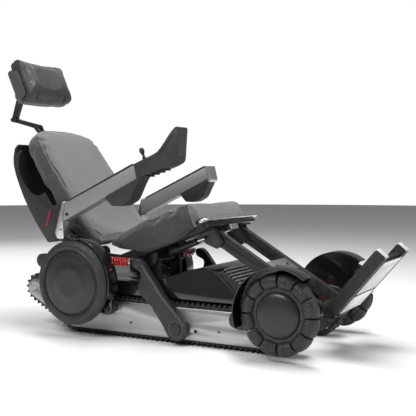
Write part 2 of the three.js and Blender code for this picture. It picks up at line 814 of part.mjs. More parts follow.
// A flat link between two hinge points, given from the first of them along its own X.
function linkBetween([x0, z0], [x1, z1], build) {
  const length = Math.hypot(x1 - x0, z1 - z0);
  const rise = THREE.MathUtils.radToDeg(Math.atan2(z1 - z0, x1 - x0));
  return { group: tiltedGroup([x0, z0], rise), geometry: build(length) };
}

function headrestLink(length) {
  const body = prism([[-10, -9, 8], [length - 14, -8], [length - 14, 8], [-10, 9, 8]], -12, 12);
  const fork = (y0, y1) => prism(
    [[length - 20, -8], [length + 4, -9, 8], [length + 12, 0, 8], [length + 4, 9, 8], [length - 20, 8]],
    y0, y1,
  );
  return cut(
    join(
      body, fork(-18, -12), fork(12, 18), block(length - 24, length - 14, -18, 18, -8, 8),
      rod([length, 0], 5, -15, 15, 12),
    ),
    rod([0, 0], 5.5, -20, 20, 12),
  );
}

function headrestPost(length) {
  const neck = barAlongX(6, length - 40, length - 8, 0, 0, 12);
  const ball = new THREE.SphereGeometry(12, 10, 7);
  ball.translate(length, 0, 0);
  return cut(
    join(
      prism([[-8, -9, 7], [length - 20, -12, 6], [length - 20, 12, 6], [-8, 9, 7]], -11.5, 11.5),
      neck, ball,
    ),
    rod([0, 0], 5.5, -20, 20, 12),
  );
}

// The headrest stands in its own lean: local X is across its thickness, local Z up its height.
function headrestPad() {
  const plan = [
    [-50, -80, 30], [-34, -116, 26], [8, -131, 20], [46, -131, 20], [58, -110, 24],
    [44, -58, 50], [36, 0, 60],
    [44, 58, 50], [58, 110, 24], [46, 131, 20], [8, 131, 20], [-34, 116, 26], [-50, 80, 30],
  ];
  const side = [
    [-56, -74, 36], [-26, -92, 36], [36, -88, 36], [60, -50, 46], [60, 50, 46], [36, 90, 36], [-26, 92, 36],
    [-56, 70, 36],
  ];
  return common(planPrism(plan, -110, 110, 3), prism(side, -160, 160, 3));
}

function headrestShell() {
  const dx = HEAD_PIVOT[0] - HEAD_CENTRE[0];
  const dz = HEAD_PIVOT[1] - HEAD_CENTRE[1];
  const c = Math.cos(radians(HEAD_LEAN));
  const s = Math.sin(radians(HEAD_LEAN));
  const [px, pz] = [dx * c + dz * s, dz * c - dx * s];
  const socket = new THREE.SphereGeometry(12.8, 10, 7);
  socket.translate(px, 0, pz);
  const panel = common(
    prism(
      [[14, -72, 16], [14, 44, 30], [-30, 62, 20], [-84, 58, 20], [-92, 10, 50], [-90, -60, 20]],
      -140, 140, 2,
    ),
    planPrism([[14, -137], [-36, -133, 30], [-74, -92, 40], [-92, -30, 40], [-92, 30, 40], [-74, 92, 40],
      [-36, 133, 30], [14, 137]], -100, 100, 3),
  );
  const room = headrestPad();
  room.scale(1.013, 1.013, 1.013);
  const slot = prism(
    [[px, pz - 9], [px + 4, pz - 60], [px - 60, pz - 60], [px - 60, pz + 24], [px, pz + 9]], -12.6, 12.6,
  );
  const boss = join(rod([px, pz], 20, -19, 19, 16), block(px, -70, -19, 19, pz - 14, pz + 14));
  return cut(join(cut(panel, room), boss), socket, slot);
}

// ---------------------------------------------------------------- armrests and controller
const PLATE_SHAPE = [[-44.5, 490.5], [261, 628.5], [275, 581], [-56, 423]];

function armBracket() {
  const post = [[-60, 496, 4], [-47, 496, 4], [-58.6, 430], [-51, 357.6, 4], [-82, 357.6, 4], [-94, 378, 6]];
  return prism(post, -ARM_OUTER, -ARM_INNER - 8);
}

function armrestPlate() {
  return prism(PLATE_SHAPE, -ARM_OUTER, -ARM_INNER);
}

function armrestPad() {
  const rise = 4;
  const strip = [[-34, 496.4], [-30, 498.4 + rise, 5], [254, 628.9 + rise, 5], [261, 629.8]];
  return prism(strip, -ARM_OUTER - 1, -ARM_INNER + 1);
}

const HOUSING_UNDER = [[139, 514.6], [168, 484, 8], [211, 484, 8], [248, 505, 10], [279, 566, 8]];

function controllerHousing() {
  const body = [
    [263, 631], [363, 671, 20], [417, 741, 20], [436, 757, 8], [445, 753, 6], [438, 648, 10], [434, 637, 8],
    [410, 624, 10], [292, 586], ...[...HOUSING_UNDER].reverse(), [275.6, 580.2],
  ];
  const well = block(-17, 17, -17, 17, -10, 50);
  well.rotateY(-radians(STICK_LEAN));
  well.translate(...STICK);
  const [x, y] = BUTTON;
  const buttonWell = block(x - 6, x + 6, y - 6, y + 6, 647, 700);
  return cut(prism(body, -290, -226), well, buttonWell);
}

function armrestHousing() {
  const under = [...HOUSING_UNDER, [275.6, 580.2]];
  const lower = prism(under, -ARM_OUTER + 2, -ARM_INNER - 2);
  const cap = prism(
    [[276, 580.6], [262, 629.4], [276, 634, 6], [290, 574, 6], [279, 566, 4], [270, 572]],
    -ARM_OUTER, -ARM_INNER,
  );
  return join(lower, cap);
}

// The stick and its ring are drawn about their common centre.
function joystickGimbal() {
  const ring = cut(block(-13, 13, -13, 13, -4, 4), block(-9, 9, -9, 9, -5, 5));
  return join(ring, barAlongX(2, -16.6, -12, 0, 0, 10), barAlongX(2, 12, 16.6, 0, 0, 10));
}

function joystick() {
  const profile = [
    [0, -6], [5, -5], [5, 18], [9, 24], [4, 30], [4, 38], [8, 45], [9, 54], [6, 61], [0, 63],
  ];
  const points = profile.map(([radius, h]) => new THREE.Vector2(radius, h));
  const stick = new THREE.LatheGeometry(points, 12);
  stick.rotateX(Math.PI / 2);
  return join(stick, rod([0, 0], 2, -8.6, 8.6, 10));
}

function modeButton() {
  const [x, y] = BUTTON;
  return block(x - 5, x + 5, y - 5, y + 5, 652, 673);
}

// ---------------------------------------------------------------- assembly
function addChassis() {
  addTo(wheelchair, 'chassis_frame', chassisFrame(), SATIN_BLACK);
  addTo(wheelchair, 'battery_pack', batteryPack(), BATTERY_GREY);
  addTo(wheelchair, 'chassis_cover', chassisCover(), GLOSS_BLACK);
  addTo(wheelchair, 'rear_bumper_bar', rearBumperBar(), MATTE_BLACK);
}

function addTracks() {
  addPair(wheelchair, 'track_frame', trackFrame, ALUMINIUM);
  addPair(wheelchair, 'track_belt', trackBelt, RUBBER);
  addPair(wheelchair, 'drive_sprocket', () => trackPulley(SPROCKET, 12, 14), SATIN_BLACK);
  addPair(wheelchair, 'track_idler', () => trackPulley(IDLER, 14, 22), SATIN_BLACK);
}

function addWheels() {
  addPair(wheelchair, 'lift_arm', liftArm, SATIN_BLACK);
  addPair(wheelchair, 'shock_rod', shockRod, SILVER);
  addPair(wheelchair, 'shock_spring', shockSpring, RED);
  addPair(wheelchair, 'rear_swing_arm', rearSwingArm, SATIN_BLACK);
  addPair(wheelchair, 'rear_fender', rearFender, GLOSS_BLACK);
  addPair(wheelchair, 'rear_tyre', rearTyre, RUBBER);
  addPair(wheelchair, 'rear_hub', rearHub, SATIN_BLACK);
  addPair(wheelchair, 'front_swing_arm', frontSwingArm, SATIN_BLACK);
  addPair(wheelchair, 'front_fender', frontFender, GLOSS_BLACK);
  addPair(wheelchair, 'omni_rollers', omniRollers, RUBBER);
  addPair(wheelchair, 'front_hub', frontHub, SATIN_BLACK);
}

function addSeat() {
  const seat = tiltedGroup(SEAT_CORNER, SEAT_TILT);
  addTo(seat, 'seat_frame', seatFrame(), SATIN_BLACK);
  addTo(seat, 'seat_cushion', seatCushion(), FABRIC);
  addTo(seat, 'seat_trim', seatTrim(), SILVER);
  addTo(seat, 'legrest_actuator_body', legrestActuatorBody(), SATIN_BLACK);
  addTo(seat, 'legrest_actuator_rod', legrestActuatorRod(), SILVER);
  addPair(wheelchair, 'arm_bracket', armBracket, SILVER);
  addPair(wheelchair, 'armrest_plate', armrestPlate, ALUMINIUM);
  addPair(wheelchair, 'armrest_pad', armrestPad, MATTE_BLACK);
  addTo(wheelchair, 'armrest_housing_left', mirrored(armrestHousing()), MATTE_BLACK);
  addTo(wheelchair, 'controller_housing', controllerHousing(), MATTE_BLACK);
  const stick = tiltedGroup([STICK[0], STICK[2]], STICK_LEAN);
  stick.position.y = STICK[1];
  addTo(stick, 'joystick_gimbal', joystickGimbal(), SILVER);
  addTo(stick, 'joystick', joystick(), MATTE_BLACK);
  addTo(wheelchair, 'mode_button', modeButton(), SILVER);
}

function addLegrest() {
  const leg = tiltedGroup(KNEE, -LEGREST_DROP);
  addTo(leg, 'legrest_frame', legrestFrame(), SATIN_BLACK);
  addTo(leg, 'legrest_cross_plate', legrestCrossPlate(), SILVER);
  const foot = tiltedGroup(FOOT_PIVOT, FOOTBOARD_RISE);
  addTo(foot, 'footboard', footboard(), MATTE_BLACK);
}

function addBackrest() {
  const back = tiltedGroup(BACK_CORNER, BACK_LEAN);
  addTo(back, 'back_cushion', backCushion(), FABRIC);
  addTo(back, 'back_shell', backShell(), SATIN_BLACK);
  addTo(back, 'headrest_mast', headrestMast(), SATIN_BLACK);
  const link = linkBetween(MAST_TOP, HEAD_KNUCKLE, headrestLink);
  addTo(link.group, 'headrest_link', link.geometry, SATIN_BLACK);
  const post = linkBetween(HEAD_KNUCKLE, HEAD_PIVOT, headrestPost);
  addTo(post.group, 'headrest_post', post.geometry, SATIN_BLACK);
  const head = tiltedGroup(HEAD_CENTRE, HEAD_LEAN);
  addTo(head, 'headrest_shell', headrestShell(), MATTE_BLACK);
  addTo(head, 'headrest_pad', headrestPad(), LEATHER);
}

addChassis();
addTracks();
addWheels();
addSeat();
addLegrest();
addBackrest();

// The origin goes to the middle of the footprint, on the floor under the lowest lug.
wheelchair.updateMatrixWorld(true);
const box = new THREE.Box3().setFromObject(wheelchair, true);
const middle = box.getCenter(new THREE.Vector3());
wheelchair.position.set(-middle.x, -middle.y, -box.min.z);
wheelchair.updateMatrixWorld(true);

export default wheelchair;
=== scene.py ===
# Looks for the tracked power wheelchair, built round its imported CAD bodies.
# Lengths in the helpers are millimetres, in the chair's drawing frame: X = 0 at the rear axle,
# Z = 0 near the floor. `at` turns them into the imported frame's metres.
import json
import math
import bpy
import bmesh
from mathutils import Matrix, Vector, noise

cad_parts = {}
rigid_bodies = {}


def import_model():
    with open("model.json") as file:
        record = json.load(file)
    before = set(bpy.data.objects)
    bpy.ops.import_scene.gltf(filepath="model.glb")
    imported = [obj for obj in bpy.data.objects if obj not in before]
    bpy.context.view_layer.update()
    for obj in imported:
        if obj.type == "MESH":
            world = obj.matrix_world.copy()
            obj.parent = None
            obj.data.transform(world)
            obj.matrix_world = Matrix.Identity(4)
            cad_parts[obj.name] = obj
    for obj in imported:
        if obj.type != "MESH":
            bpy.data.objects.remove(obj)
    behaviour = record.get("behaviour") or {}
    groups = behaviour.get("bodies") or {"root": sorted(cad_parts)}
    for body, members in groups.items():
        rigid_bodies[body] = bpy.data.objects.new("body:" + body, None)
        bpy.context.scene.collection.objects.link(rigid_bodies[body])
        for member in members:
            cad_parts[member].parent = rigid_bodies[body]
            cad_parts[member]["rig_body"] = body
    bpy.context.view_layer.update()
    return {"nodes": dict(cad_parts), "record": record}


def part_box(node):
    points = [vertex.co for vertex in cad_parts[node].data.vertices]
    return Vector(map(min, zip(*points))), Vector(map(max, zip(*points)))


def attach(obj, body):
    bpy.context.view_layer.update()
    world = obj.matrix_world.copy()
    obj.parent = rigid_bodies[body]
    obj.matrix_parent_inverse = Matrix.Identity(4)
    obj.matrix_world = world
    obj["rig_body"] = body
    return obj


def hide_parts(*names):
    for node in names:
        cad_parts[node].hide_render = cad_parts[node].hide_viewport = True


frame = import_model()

NODES = frame["nodes"]
SIDES = (("right", -1), ("left", 1))
MM = 0.001
REAR_AXLE_Z = 201.7
FRONT_AXLE = (813, 153)
FLOOR_RADIUS = 14

hub_low, hub_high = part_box("rear_hub_right")
SHIFT = Vector(((hub_low.x + hub_high.x) / 2, 0, (hub_low.z + hub_high.z) / 2 - REAR_AXLE_Z * MM))


def at(x, y, z):
    return Vector((x * MM, y * MM, z * MM)) + SHIFT


def mixed(a, b, t):
    return a + (b - a) * t


def smooth(t):
    t = min(max(t, 0.0), 1.0)
    return t * t * (3 - 2 * t)


# ------------------------------------------------------------------ materials
class Shader:
    """A Principled material with helpers for procedural detail in object coordinates."""

    def __init__(self, name, color, roughness, metallic=0.0, **sockets):
        self.material = bpy.data.materials.new(name)
        self.material.use_nodes = True
        self.tree = self.material.node_tree
        self.bsdf = self.tree.nodes["Principled BSDF"]
        self.color = (*color, 1.0)
        self.bsdf.inputs["Base Color"].default_value = self.color
        self.bsdf.inputs["Roughness"].default_value = roughness
        self.bsdf.inputs["Metallic"].default_value = metallic
        for key, value in sockets.items():
            self.bsdf.inputs[key.replace("_", " ")].default_value = value
        self.coordinates = self.add("ShaderNodeTexCoord").outputs["Object"]
        self.height = None

    def add(self, kind, **settings):
        node = self.tree.nodes.new(kind)
        for key, value in settings.items():
            setattr(node, key, value)
        return node

    def link(self, a, b):
        self.tree.links.new(a, b)

    def stretched(self, scale):
        mapping = self.add("ShaderNodeMapping")
        mapping.inputs["Scale"].default_value = scale
        self.link(self.coordinates, mapping.inputs["Vector"])
        return mapping.outputs["Vector"]

    def noise(self, scale, detail=3.0, stretch=(1, 1, 1)):
        node = self.add("ShaderNodeTexNoise")
        node.inputs["Scale"].default_value = scale
        node.inputs["Detail"].default_value = detail
        self.link(self.stretched(stretch), node.inputs["Vector"])
        return node.outputs["Fac"]

    def cells(self, scale, feature="F1", stretch=(1, 1, 1)):
        node = self.add("ShaderNodeTexVoronoi", feature=feature)
        node.inputs["Scale"].default_value = scale
        self.link(self.stretched(stretch), node.inputs["Vector"])
        return node.outputs["Distance"]

    def bands(self, scale, direction, distortion=0.4):
        node = self.add("ShaderNodeTexWave", bands_direction=direction)
        node.inputs["Scale"].default_value = scale
        node.inputs["Distortion"].default_value = distortion
        self.link(self.coordinates, node.inputs["Vector"])
        return node.outputs["Fac"]

    def ramp(self, value, low, high, out_low=0.0, out_high=1.0):
        node = self.add("ShaderNodeMapRange", clamp=True)
        limits = (("From Min", low), ("From Max", high), ("To Min", out_low), ("To Max", out_high))
        for key, number in limits:
            node.inputs[key].default_value = number
        self.link(value, node.inputs["Value"])
        return node.outputs["Result"]

    def math(self, operation, a, b):
        node = self.add("ShaderNodeMath", operation=operation)
        for socket, value in zip(node.inputs, (a, b)):
            if isinstance(value, (int, float)):
                socket.default_value = value
            else:
                self.link(value, socket)
        return node.outputs["Value"]

    def tint(self, value, other):
        """Mixes the base colour towards another one where value is high."""
        node = self.add("ShaderNodeMix", data_type="RGBA")
        colors = [socket for socket in node.inputs if socket.type == "RGBA"]
        source = self.bsdf.inputs["Base Color"]
        if source.is_linked:
            self.link(source.links[0].from_socket, colors[0])
        else:
            colors[0].default_value = self.color
        colors[1].default_value = (*other, 1.0)
        self.link(value, node.inputs["Factor"])
        self.link(next(o for o in node.outputs if o.type == "RGBA"), source)

    def gloss(self, value, rough_low, rough_high):
        self.link(self.ramp(value, 0.3, 0.7, rough_low, rough_high), self.bsdf.inputs["Roughness"])

    def bump(self, value, strength, depth):
        node = self.add("ShaderNodeBump")
        node.inputs["Strength"].default_value = strength
        node.inputs["Distance"].default_value = depth
        self.link(value, node.inputs["Height"])
        if self.height:
            self.link(self.height, node.inputs["Normal"])
        self.height = node.outputs["Normal"]
        self.link(self.height, self.bsdf.inputs["Normal"])


def edge_wear(shader, color, amount=0.5):
    geometry = shader.add("ShaderNodeNewGeometry")
    edge = shader.ramp(geometry.outputs["Pointiness"], 0.52, 0.62, 0.0, amount)
    patchy = shader.math("MULTIPLY", edge, shader.ramp(shader.noise(60), 0.35, 0.65))
    shader.tint(patchy, color)


def plastic(name, color, roughness, grain=900, depth=0.00012, wear=0.35, **sockets):
    shader = Shader(name, color, roughness, 0.0, **sockets)
    shader.tint(shader.ramp(shader.noise(7), 0.35, 0.7, 0.0, 0.22), tuple(c * 1.5 + 0.004 for c in color))
    edge_wear(shader, tuple(c * 2.4 + 0.02 for c in color), wear)
    shader.gloss(shader.noise(24, 4), roughness * 0.85, min(1.0, roughness * 1.2))
    shader.bump(shader.noise(grain, 2), 0.35, depth)
    return shader.material


def gloss_black():
    shader = Shader("gloss_black", (0.008, 0.008, 0.009), 0.12, 0.0, Coat_Weight=0.6, Coat_Roughness=0.05)
    shader.tint(shader.ramp(shader.noise(3), 0.4, 0.75, 0.0, 0.3), (0.016, 0.016, 0.018))
    shader.gloss(shader.noise(18, 4), 0.09, 0.2)
    shader.bump(shader.noise(8, 2), 0.12, 0.0006)
    return shader.material


def satin_paint(name, color, roughness=0.42):
    shader = Shader(name, color, roughness, 0.15, Coat_Weight=0.15, Coat_Roughness=0.3)
    edge_wear(shader, tuple(c * 3 + 0.05 for c in color), 0.45)
    shader.tint(shader.ramp(shader.noise(5), 0.4, 0.7, 0.0, 0.3), tuple(c * 1.6 for c in color))
    shader.gloss(shader.noise(30, 4), roughness * 0.85, roughness * 1.2)
    shader.bump(shader.noise(1400, 2), 0.3, 0.00008)
    return shader.material


def brushed(name, color, roughness, stretch=(0.6, 8, 8), metallic=0.9):
    shader = Shader(name, color, roughness, metallic)
    grain = shader.noise(220, 5, stretch)
    shader.tint(shader.ramp(grain, 0.3, 0.75, 0.0, 0.35), tuple(c * 0.6 for c in color))
    # broad soft lighter patches: painted reflection shading across the brushed metal
    lighter = tuple(min(1.0, c * 1.35) for c in color)
    shader.tint(shader.ramp(shader.noise(2.6, 2), 0.42, 0.62, 0.0, 0.5), lighter)
    shader.gloss(grain, roughness * 0.75, roughness * 1.25)
    shader.bump(grain, 0.25, 0.00006)
    return shader.material


def woven(name, color, pitch=420, contrast=0.45, depth=0.0005):
    shader = Shader(name, color, 0.92, 0.0, Sheen_Weight=0.35, Sheen_Roughness=0.5)
    warp = shader.bands(pitch, "X", 1.2)
    weft = shader.bands(pitch, "Z", 1.2)
    across = shader.bands(pitch, "Y", 1.2)
    warp_knots = shader.math("MULTIPLY", warp, across)
    weft_knots = shader.math("MULTIPLY", weft, across)
    weave = shader.math("MAXIMUM", warp_knots, weft_knots)
    shader.tint(shader.ramp(weave, 0.1, 0.8, contrast, 0.0), tuple(c * 0.55 for c in color))
    shader.tint(shader.ramp(shader.noise(90, 5), 0.4, 0.7, 0.0, 0.3), tuple(c * 1.35 for c in color))
    shader.tint(shader.ramp(shader.noise(4, 2), 0.35, 0.7, 0.0, 0.3), tuple(c * 0.8 for c in color))
    shader.bump(weave, 0.5, depth)
    shader.bump(shader.noise(160, 3), 0.25, 0.0006)
    return shader.material


def knit():
    color = (0.022, 0.022, 0.023)
    shader = Shader("spacer_knit", color, 0.88, 0.0, Sheen_Weight=0.25, Sheen_Roughness=0.5)
    cells = shader.cells(230, stretch=(1, 0.15, 1.25))
    shader.tint(shader.ramp(cells, 0.25, 0.55, 0.0, 0.75), (0.075, 0.075, 0.077))
    shader.tint(shader.ramp(shader.noise(6), 0.4, 0.7, 0.0, 0.35), (0.012, 0.012, 0.013))
    shader.bump(cells, 0.7, 0.0009)
    return shader.material


def leather(name, color):
    shader = Shader(name, color, 0.5, 0.0, Sheen_Weight=0.1, Coat_Weight=0.06, Coat_Roughness=0.4)
    pores = shader.cells(520, "DISTANCE_TO_EDGE")
    shader.tint(shader.ramp(shader.noise(9), 0.4, 0.7, 0.0, 0.4), tuple(c * 1.5 for c in color))
    shader.tint(shader.ramp(pores, 0.0, 0.12, 0.5, 0.0), tuple(c * 0.5 for c in color))
    shader.gloss(shader.noise(40, 4), 0.42, 0.6)
    shader.bump(pores, 0.4, 0.0004)
    shader.bump(shader.noise(28, 3), 0.25, 0.0014)
    return shader.material


def rubber(name, color, roughness=0.7):
    shader = Shader(name, color, roughness)
    shader.tint(shader.ramp(shader.noise(16, 4), 0.45, 0.7, 0.0, 0.5), tuple(c * 2.0 + 0.004 for c in color))
    edge_wear(shader, tuple(c * 2.2 + 0.02 for c in color), 0.5)
    shader.gloss(shader.noise(50, 3), roughness * 0.8, min(1.0, roughness * 1.2))
    shader.bump(shader.noise(420, 3), 0.4, 0.0003)
    return shader.material


def polished(name, color, roughness=0.18):
    shader = Shader(name, color, roughness, 1.0)
    shader.gloss(shader.noise(120, 4, (1, 6, 6)), roughness * 0.7, roughness * 1.6)
    shader.bump(shader.noise(300, 2, (1, 5, 5)), 0.15, 0.00005)
    return shader.material


def spring_paint():
    shader = Shader("spring_red", (0.62, 0.012, 0.014), 0.3, 0.1, Coat_Weight=0.4, Coat_Roughness=0.12)
    shader.tint(shader.ramp(shader.noise(110, 3), 0.5, 0.75, 0.0, 0.4), (0.3, 0.006, 0.008))
    shader.bump(shader.noise(500, 2), 0.2, 0.0001)
    return shader.material


GLOSS = gloss_black()
SATIN = satin_paint("satin_black", (0.017, 0.017, 0.018))
ARM_BLACK = satin_paint("arm_black", (0.02, 0.02, 0.021), 0.48)
ALLOY_BLACK = satin_paint("alloy_black", (0.014, 0.014, 0.015), 0.36)
MATTE = plastic("matte_black", (0.02, 0.02, 0.021), 0.6)
HOUSING = plastic("housing_black", (0.026, 0.026, 0.027), 0.5, 700, 0.00015)
SHELL_BLACK = plastic("shell_black", (0.022, 0.022, 0.023), 0.42, 1100, 0.0001)
HEAD_SHELL = plastic("head_shell_grey", (0.062, 0.062, 0.064), 0.5, 900, 0.00012)
PANEL_GREY = plastic("panel_grey", (0.045, 0.045, 0.047), 0.46)
DISC_BLACK = plastic("disc_black", (0.019, 0.019, 0.02), 0.33, 1200, 0.00005, 0.2)
CAP_WHITE = plastic("cap_pale", (0.6, 0.6, 0.6), 0.5)
GLASS_BLACK = plastic("display_black", (0.004, 0.004, 0.005), 0.08, 400, 0.00001, 0.0)
ALUMINIUM = brushed("brushed_aluminium", (0.42, 0.42, 0.42), 0.36)
ARM_PLATE = brushed("armrest_aluminium", (0.3, 0.3, 0.305), 0.5, (1, 6, 6), 0.35)
SILVER = brushed("silver", (0.62, 0.62, 0.62), 0.3, (1, 3, 3))
TRIM = brushed("trim_silver", (0.66, 0.66, 0.66), 0.28, (3, 0.6, 3))
GRILLE = brushed("grille_silver", (0.5, 0.5, 0.5), 0.34, (3, 0.6, 3))
STEEL = polished("polished_steel", (0.72, 0.72, 0.73))
CASTING = plastic("casting_grey", (0.34, 0.34, 0.35), 0.5, 300, 0.0004)
RUBBER = rubber("rubber_black", (0.016, 0.016, 0.016))
TYRE = rubber("tyre_rubber", (0.021, 0.021, 0.021), 0.52)
ROLLER = rubber("roller_rubber", (0.018, 0.018, 0.018), 0.5)
RED = spring_paint()
FABRIC = woven("seat_fabric", (0.155, 0.155, 0.158))
KNIT = knit()
BOLSTER = woven("bolster_fabric", (0.05, 0.05, 0.052), 420, 0.3)
LEATHER = leather("headrest_leather", (0.034, 0.034, 0.036))
PAD_BLACK = leather("arm_pad", (0.013, 0.013, 0.014))
BATTERY = plastic("battery_grey", (0.045, 0.047, 0.05), 0.5)
RED_LINE = plastic("accent_red", (0.45, 0.01, 0.012), 0.35, 900, 0.0001, 0.0)


# ------------------------------------------------------------------ pieces
def shade(mesh, degrees=36):
    mesh.polygons.foreach_set("use_smooth", [True] * len(mesh.polygons))
    mesh.set_sharp_from_angle(angle=math.radians(degrees))


def piece(name, mesh, body, slot, *materials, degrees=36):
    obj = bpy.data.objects.new(name, mesh)
    bpy.context.scene.collection.objects.link(obj)
    for material in materials:
        mesh.materials.append(material)
    shade(mesh, degrees)
    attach(obj, body)
    return obj


def from_bmesh(name, bm):
    bmesh.ops.recalc_face_normals(bm, faces=bm.faces)
    mesh = bpy.data.meshes.new(name)
    bm.to_mesh(mesh)
    bm.free()
    return mesh


def evaluated(obj):
    """The object's mesh with its modifiers applied, and the object itself removed."""
    bpy.context.view_layer.update()
    graph = bpy.context.evaluated_depsgraph_get()
    mesh = bpy.data.meshes.new_from_object(obj.evaluated_get(graph))
    bpy.data.objects.remove(obj)
    return mesh


def scratch(mesh):
    obj = bpy.data.objects.new("scratch", mesh)
    bpy.context.scene.collection.objects.link(obj)
    return obj


def bevelled(mesh, width, segments=2, degrees=38):
    obj = scratch(mesh)
    bevel = obj.modifiers.new("bevel", "BEVEL")
    bevel.width = width * MM
    bevel.segments = segments
    bevel.limit_method = "ANGLE"
    bevel.angle_limit = math.radians(degrees)
    bevel.use_clamp_overlap = True
    return evaluated(obj)


def node_mesh(node):
    """A clean copy of a CAD node's mesh, its flat faces whole again."""
    bm = bmesh.new()
    bm.from_mesh(NODES[node].data)
    bmesh.ops.remove_doubles(bm, verts=bm.verts, dist=1e-5)
    bmesh.ops.dissolve_limit(bm, angle_limit=math.radians(0.6), verts=bm.verts, edges=bm.edges)
    mesh = bpy.data.meshes.new(node)
    bm.to_mesh(mesh)
    bm.free()
    mesh.materials.clear()
    return mesh


def slot_of(node):
    return next(s["material_slot"] for s in frame["record"]["subparts"] if s["node"] == node)


def refined(node, material, width=1.2, segments=2, degrees=38):
    """A CAD node again with its edges rounded over."""
    mesh = bevelled(node_mesh(node), width, segments, degrees) if width else node_mesh(node)
    mesh.materials.clear()
    obj = piece(node + "_finished", mesh, NODES[node]["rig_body"], slot_of(node), material, degrees=40)
    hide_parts(node)
    return obj


def basis(axis):
    axis = Vector(axis).normalized()
    side = axis.orthogonal().normalized()
    return Matrix((side, axis.cross(side), axis)).transposed()


def lathe_into(bm, profile, origin, axis=(0, 1, 0), segments=48):
    """Turns (radius, distance) pairs round an axis from an origin in metres; closes the ends."""
    turn = basis(axis)
    rings = []
    for radius, along in profile:
        if radius < 1e-6:
            rings.append([bm.verts.new(origin + turn @ Vector((0, 0, along * MM)))])
            continue
        ring = []
        for i in range(segments):
            angle = 2 * math.pi * i / segments
            spoke = Vector((radius * math.cos(angle), radius * math.sin(angle), along)) * MM
            ring.append(bm.verts.new(origin + turn @ spoke))
        rings.append(ring)
    for a, b in zip(rings, rings[1:]):
        for i in range(segments):
            j = (i + 1) % segments
            corners = [a[i % len(a)], a[j % len(a)], b[j % len(b)], b[i % len(b)]]
            corners = list(dict.fromkeys(corners))
            if len(corners) > 2:
                bm.faces.new(corners)
    for ring in (rings[0], rings[-1]):
        if len(ring) > 1 and (profile[0] != profile[-1]):
            bm.faces.new(ring)
    if profile[0] == profile[-1]:
        bmesh.ops.remove_doubles(bm, verts=bm.verts, dist=1e-6)


def lathe(name, profile, origin, body, slot, *materials, axis=(0, 1, 0), segments=64, degrees=30):
    bm = bmesh.new()
    lathe_into(bm, profile, origin, axis, segments)
    return piece(name, from_bmesh(name, bm), body, slot, *materials, degrees=degrees)


def box_into(bm, low, high, matrix=None):
    made = bmesh.ops.create_cube(bm, size=1.0)["verts"]
    for vertex in made:
        vertex.co = Vector([mixed(low[k], high[k], vertex.co[k] + 0.5) * MM for k in range(3)])
        vertex.co = matrix @ vertex.co if matrix else vertex.co + SHIFT


def sweep(name, points, radius, body, slot, material, cyclic=False, resolution=6):
    curve = bpy.data.curves.new(name, "CURVE")
    curve.dimensions = "3D"
    curve.bevel_depth = radius * MM
    curve.bevel_resolution = resolution
    curve.use_fill_caps = True
    spline = curve.splines.new("POLY")
    spline.points.add(len(points) - 1)
    for target, point in zip(spline.points, points):
        target.co = (*point, 1.0)
    spline.use_cyclic_u = cyclic
    obj = bpy.data.objects.new(name, curve)
    bpy.context.scene.collection.objects.link(obj)
    mesh = evaluated(obj)
    mesh.materials.clear()
    return piece(name, mesh, body, slot, material, degrees=60)


def tilted(origin, rise):
    """Local millimetres to packed metres: local X rises by `rise` degrees from level."""
    return Matrix.Translation(at(origin[0], 0, origin[1])) @ Matrix.Rotation(-math.radians(rise), 4, "Y")


def local(matrix, x, y, z):
    return matrix @ Vector((x * MM, y * MM, z * MM))


SEAT = tilted((93, 356), 21)
BACK = tilted((-20, 398), 33.4)
LEG = tilted((494, 376), -31)
FOOT = tilted((915, 123), 50)
HEAD = tilted((-406, 978), 25)


